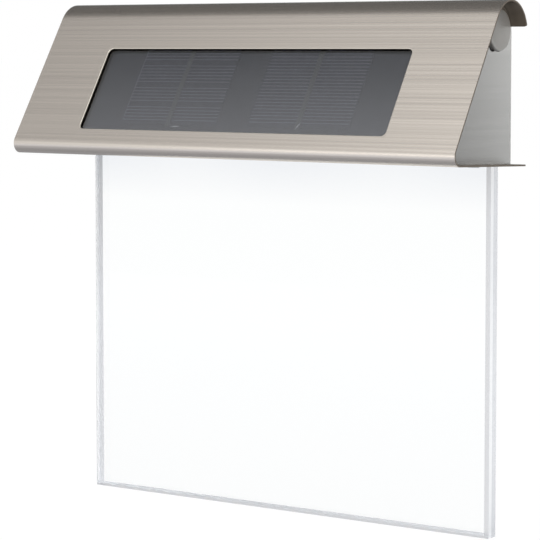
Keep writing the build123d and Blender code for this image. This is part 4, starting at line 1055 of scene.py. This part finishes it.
class SIGNLIGHT_OT_sign_plate(bpy.types.Operator):
    """Makes the clear plate, and finishes the channel, the light board and the seals round the plate"""

    bl_idname = "signlight.sign_plate"
    bl_label = "Clear plate and light"

    def execute(self, context):
        settings = context.scene.sign_plate
        acrylic = cast_acrylic(list(settings.acrylic))
        plate = place_piece(plate_mesh(settings), "clear_plate", acrylic, ("sign_plate",))
        bright, grey, dull = ("#FBFCFD", "#FFFFFF"), ("#D5D6DA", "#E0E1E4"), ("#DDDEE2", "#E8E9EC")
        # The edge gets a faint painted glow for the LEDs' light that leaves through it. Its rear part and
        # the bevels are greyer.
        plate.data.materials.append(buffed_edge("buffed_acrylic_edge", bright, grey, 0.45, 0.12))
        plate.data.materials.append(buffed_edge("buffed_acrylic_bevel", dull, dull, 0.3))
        for face in plate.data.polygons:
            across = abs(face.normal.y)
            if across < 0.99:
                face.material_index = 2 if across > 0.1 else 1
        paint_nodes(foam_rubber(), "plate_pad_front", "plate_pad_rear", "slot_gasket")
        paint_nodes(anodised_aluminium(), "light_rail")
        paint_nodes(solder_masked_board("white_solder_mask", 4.0, "#E9E9E5", "#F4F4F1"), "led_board")
        paint_nodes(led_package(), "led_left", "led_right")
        phosphor = led_phosphor()
        for node in ("led_left", "led_right"):
            place_piece(phosphor_mesh(node), node + "_phosphor", phosphor)
        return {"FINISHED"}


# ------------------------------------------------------------------ electronics on the floor
BOARD_THICKNESS = 1.6 * MM
CHIP_LEG_PITCH = 1.27 * MM
PIN_SPREADS = {"led_socket": 5 * MM, "panel_socket": 5 * MM, "battery_socket": 5 * MM, "capacitor": 2.5 * MM}


def knob_mesh():
    """The switch's knob, with three grip grooves across its face."""
    bm = bmesh.new()
    block(bm, KNOB_HIGH - KNOB_LOW, (KNOB_LOW + KNOB_HIGH) / 2)
    face = min(bm.faces, key=lambda f: f.calc_center_median().z)
    edges = [edge for edge in face.edges if abs(edge.verts[0].co.y - edge.verts[1].co.y) < 0.001 * MM]
    bmesh.ops.subdivide_edges(bm, edges=edges, cuts=6, use_grid_fill=True)
    strips = sorted(
        (f for f in bm.faces if f.calc_center_median().z < KNOB_LOW.z + 0.01 * MM),
        key=lambda f: f.calc_center_median().x,
    )
    for strip in strips[1::2]:
        sunk = bmesh.ops.extrude_discrete_faces(bm, faces=[strip])["faces"]
        bmesh.ops.translate(bm, verts=sunk[0].verts, vec=(0, 0, 0.25 * MM))
    bmesh.ops.recalc_face_normals(bm, faces=bm.faces)
    return bm


def solder_joints_mesh():
    """Soldered joints: under the board at each socket's two pins and the capacitor's leads, and along both
    sides of the chip, where its bent legs stand on their pads."""
    bm = bmesh.new()
    underside = on_floor("control_board").z + BOARD_THICKNESS / 2
    top = underside - BOARD_THICKNESS
    for node, spread in PIN_SPREADS.items():
        for side in (-1, 1):
            pin = on_floor(node) + Vector((side * spread / 2, 0, 0))
            matrix = FLOOR @ Matrix.Translation((pin.x, pin.y, underside + 0.45 * MM))
            bmesh.ops.create_cone(
                bm, cap_ends=True, segments=20, radius1=0.9 * MM, radius2=0.3 * MM, depth=0.9 * MM,
                matrix=matrix,
            )
    chip = on_floor("controller_chip")
    # Each leg's foot, upright and shoulder: its length off the chip and its height, then where these lie.
    leg_parts = ((0.9, 0.16, 2.75, 0.08), (0.16, 0.7, 2.25, 0.5), (0.5, 0.16, 2.1, 0.8))
    for number in range(4):
        x = chip.x + (number - 1.5) * CHIP_LEG_PITCH
        for side in (-1, 1):
            for length, height, off, above in leg_parts:
                place = (x, chip.y + side * off * MM, top - above * MM)
                block(bm, (0.4 * MM, length * MM, height * MM), place, FLOOR)
    return bm


def winding_mesh():
    """Turns of enamelled copper wire round the inductor's waist."""
    low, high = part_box("inductor")
    wire, inner, outer = 0.2 * MM, 2.5 * MM, 3.4 * MM
    turns = int(((high.z - low.z) / 2 - 1.36 * MM) / wire)
    outline = [(-turns * wire, inner)]
    for turn in range(-turns, turns):
        for share, sunk in ((0.15, 0.1 * MM), (0.5, 0), (0.85, 0.1 * MM)):
            outline.append(((turn + share) * wire, outer - sunk))
    outline += [(turns * wire, inner), (-turns * wire, inner)]
    bm = bmesh.new()
    turned(bm, outline, (low + high) / 2, -FLOOR_DOWN, 48)
    return bm


class SIGNLIGHT_OT_electronics(bpy.types.Operator):
    """Finishes the control board, its parts, the switch and the wires inside the housing"""

    bl_idname = "signlight.electronics"
    bl_label = "Electronics"

    def execute(self, context):
        place_piece(
            knob_mesh(), "switch_knob_grip", black_abs(), ("switch_knob",), SLIDER
        )
        paint_nodes(solder_masked_board("green_solder_mask", 1.6, "#0F4A2C", "#1C6A41"), "control_board")
        paint_nodes(epoxy_package(), "controller_chip", "inductor")
        paint_nodes(capacitor_sleeve(), "capacitor")
        solder = tinned_copper("solder", "#B9BABA", "#DADBDB")
        place_piece(solder_joints_mesh(), "solder_joints", solder)
        place_piece(winding_mesh(), "inductor_winding", enamelled_copper())
        paint_nodes(white_nylon(), "led_socket", "panel_socket", "battery_socket")
        paint_nodes(zinc_plated(), "switch_body")
        red = wire_insulation("red_pvc", "#8E1512", "#A81C17")
        black = wire_insulation("black_pvc", "#131314", "#202021")
        paint_nodes(red, "panel_wire_plus", "battery_wire_plus", "led_wire_plus")
        paint_nodes(black, "panel_wire_minus", "battery_wire_minus", "led_wire_minus")
        return {"FINISHED"}


# ------------------------------------------------------------------ the stage
# A card's tone along it, as ramps. The rear card is dark at its top, and grey low down, where the top of the
# curl mirrors it. The low card is darker towards the wall. The side card, which the right end plate mirrors,
# is brightest beside the wall, and lighter towards its top.
REAR_TONE = (("Z", 1.25, 0.15, 0.27, 0.72),)
LOW_TONE = (("Y", 1.25, 0.46, -1.0, -0.15),)
SIDE_TONE = (("X", 0.42, 0.97, 0.35, 0.8), ("X", 1.85, 0.15, 0.87, 0.94), ("Z", 0.51, 1.06, -0.16, 0.06))


def ceiling_tone(tree):
    """The card over the front: bright towards the room, with a dim strip for the window's upper half to
    mirror, and dark behind, above the curl. Its left end is dimmer, most of all far out in the room."""
    room = ramps(tree, ("Y", 1.36, 0.28, -0.605, -0.485))
    overhead = ramps(tree, ("Y", 0.0, 0.72, -0.49, -0.42))
    both = add_node(tree, "Math", {0: room, 1: overhead}, operation="ADD")[0]
    sideways = ramps(tree, ("X", 0.71, 1.0, -1.05, -0.62))
    spread = add_node(tree, "Math", {0: both, 1: sideways}, operation="MULTIPLY")[0]
    dimmed = ramps(tree, ("X", 1.0, -0.35, -0.68, -0.48), ("Y", 0.32, 0.0, -0.72, -0.62))
    lit = add_node(tree, "Math", {0: spread, 1: dimmed}, operation="SUBTRACT")[0]
    return ramps(tree, ("Y", lit, 0.16, -0.35, -0.31))


def stage_card(name, centre, size, facing, tone, lit_for="glossy", tint="#FFFFFF"):
    """A card that only reflections see, or only the light inside clear plastic, as a studio hangs one beside
    a shiny object. Its tone is a number, ramps, or a function that makes it from the card's nodes."""
    bm = bmesh.new()
    turn = Vector(facing).to_track_quat("Z", "Y").to_matrix().to_4x4()
    matrix = Matrix.Translation(centre) @ turn @ Matrix.Diagonal((*size, 1, 1))
    bmesh.ops.create_grid(bm, x_segments=1, y_segments=1, size=0.5, matrix=matrix)
    paper, tree, shader = new_material(name)
    tree.nodes.remove(shader)
    if callable(tone):
        tone = tone(tree)
    elif isinstance(tone, tuple):
        tone = ramps(tree, *tone)
    glow = add_node(tree, "Emission", {"Color": colour(tint), "Strength": tone})[0]
    tree.links.new(glow, tree.nodes["Material Output"].inputs["Surface"])
    card = object_of(bm, name, paper)
    card.visible_camera = False
    card.visible_diffuse = False
    card.visible_shadow = False
    card.visible_glossy = lit_for != "transmission"
    card.visible_transmission = lit_for != "glossy"


def stage_lamp(name, place, target, size, power):
    """A large soft box, out of sight."""
    lamp = bpy.data.lights.new(name, "AREA")
    lamp.shape = "RECTANGLE"
    lamp.size, lamp.size_y = size
    lamp.energy = power
    holder = new_object(name, lamp)
    holder.location = place
    holder.rotation_euler = (Vector(target) - Vector(place)).to_track_quat("-Z", "Y").to_euler()


def seen_directly(tree):
    """1 for a ray from the camera, a mirror or clear plastic, and 0 for the light that falls on things."""
    path = add_node(tree, "LightPath")
    rays = {0: path["Is Camera Ray"], 1: path["Is Glossy Ray"]}
    first = add_node(tree, "Math", rays, operation="MAXIMUM")[0]
    return add_node(tree, "Math", {0: first, 1: path["Is Transmission Ray"]}, operation="MAXIMUM")[0]


def white_surroundings(ambient):
    """White where it is seen, and a plain grey light where it lights."""
    world = bpy.data.worlds.new("white_studio")
    world.use_nodes = True
    tree = world.node_tree
    background = tree.nodes["Background"]
    background.inputs["Color"].default_value = (1, 1, 1, 1)
    strength = ramps(tree, (seen_directly(tree), ambient, 1.0, 0.0, 1.0))
    tree.links.new(strength, background.inputs["Strength"])
    bpy.context.scene.world = world


def pale_floor(height):
    """A wide pale floor that keeps the object's shadow and meets the white surroundings without a line. It
    can't be seen from below, so the underside can be looked at."""
    bm = bmesh.new()
    place = Matrix.Translation((0, 0, height))
    bmesh.ops.create_grid(bm, x_segments=1, y_segments=1, size=40.0, matrix=place)
    paper, tree, shader = new_material(
        "white_paper", Base_Color=(0.96, 0.96, 0.96, 1), Roughness=1.0, Specular_IOR_Level=0.0
    )
    share = add_node(tree, "Math", {0: seen_directly(tree), 1: 0.8}, operation="MULTIPLY")[0]
    glow = add_node(tree, "Emission", {"Color": (1, 1, 1, 1), "Strength": 1.1})[0]
    top = add_node(tree, "MixShader", {0: share, 1: shader.outputs[0], 2: glow})[0]
    below = add_node(tree, "NewGeometry")["Backfacing"]
    clear = add_node(tree, "BsdfTransparent")[0]
    mixed = add_node(tree, "MixShader", {0: below, 1: top, 2: clear})[0]
    tree.links.new(mixed, tree.nodes["Material Output"].inputs["Surface"])
    object_of(bm, "pale_floor", paper)


def photo_camera():
    """The camera at the photograph's angle: to the right of the object, level with its hood, a little
    tilted down."""
    lens = bpy.data.cameras.new("photo_camera")
    lens.sensor_width = 36
    lens.lens = 148.88
    lens.shift_y = -0.12
    lens.clip_start = 0.05
    camera = new_object("photo_camera", lens)
    camera.location = (0.6252, -0.9467, 0.0221)
    camera.rotation_euler = (radians(90 - 4.0255), 0, radians(34.178))
    bpy.context.scene.camera = camera


class SIGNLIGHT_OT_stage(bpy.types.Operator):
    """Makes the camera, the floor, the white surroundings, the lamps and the reflected cards"""

    bl_idname = "signlight.stage"
    bl_label = "Stage"

    def execute(self, context):
        settings = context.scene.sign_stage
        photo_camera()
        pale_floor(settings.floor_height)
        white_surroundings(settings.ambient)
        stage_lamp("key_box", (0.9, -1.6, 1.5), (0, 0, -0.05), (1.6, 1.2), 14)
        stage_lamp("fill_box", (-0.58, -1.9, 0.02), (0, 0, -0.03), (1.3, 0.3), 1.17)
        stage_card("ceiling_card", (-0.8, -0.3, 1.0), (3.6, 3.8), (0, 0, -1), ceiling_tone)
        stage_card("rear_card", (-0.8, 1.6, 0.62), (3.6, 0.76), (0, -1, 0), REAR_TONE, tint="#F2FAFF")
        stage_card("front_card", (-0.9, -2.2, 0.66), (3.6, 0.7), (0, 1, 0), 0.98)
        stage_card("low_card", (-0.6, -0.4, -0.26), (1.8, 1.8), (0, 0, 1), LOW_TONE, tint="#F4F7FF")
        stage_card("side_card", (0.7, 1.5, 0.0), (2.4, 1.6), (0, -1, 0), SIDE_TONE)
        stage_card("edge_card", (1.2, 1.5, -0.2), (1.8, 1.4), (0, -1, 0), 0.74, "transmission")
        context.scene.view_settings.view_transform = "Standard"
        return {"FINISHED"}


# ------------------------------------------------------------------ panel, registration and running
class SIGNLIGHT_PT_pieces(bpy.types.Panel):
    """Lists the steps that dress the light"""

    bl_idname = "SIGNLIGHT_PT_pieces"
    bl_label = "Solar sign light"
    bl_space_type = "VIEW_3D"
    bl_region_type = "UI"
    bl_category = "Sign light"

    def draw(self, context):
        for step in STEPS:
            self.layout.operator(step.bl_idname)
        for holder in SETTINGS:
            box = self.layout.box()
            group = getattr(context.scene, holder)
            for name in SETTINGS[holder].__annotations__:
                box.prop(group, name)


STEPS = (
    SIGNLIGHT_OT_stage,
    SIGNLIGHT_OT_hood,
    SIGNLIGHT_OT_chassis,
    SIGNLIGHT_OT_solar_panel,
    SIGNLIGHT_OT_battery_drawer,
    SIGNLIGHT_OT_sign_plate,
    SIGNLIGHT_OT_electronics,
)
SETTINGS = {
    "sign_hood": HoodSettings,
    "sign_panel": PanelSettings,
    "sign_drawer": DrawerSettings,
    "sign_plate": PlateSettings,
    "sign_stage": StageSettings,
}


def register():
    for group in (*SETTINGS.values(), *STEPS, SIGNLIGHT_PT_pieces):
        bpy.utils.register_class(group)
    for holder, group in SETTINGS.items():
        setattr(bpy.types.Scene, holder, bpy.props.PointerProperty(type=group))


def unregister():
    for holder in SETTINGS:
        delattr(bpy.types.Scene, holder)
    for group in (SIGNLIGHT_PT_pieces, *reversed(STEPS), *reversed(SETTINGS.values())):
        bpy.utils.unregister_class(group)


def main():
    register()
    for step in STEPS:
        name = step.bl_idname.split(".")[1]
        getattr(bpy.ops.signlight, name)()


if __name__ == "__main__":
    main()
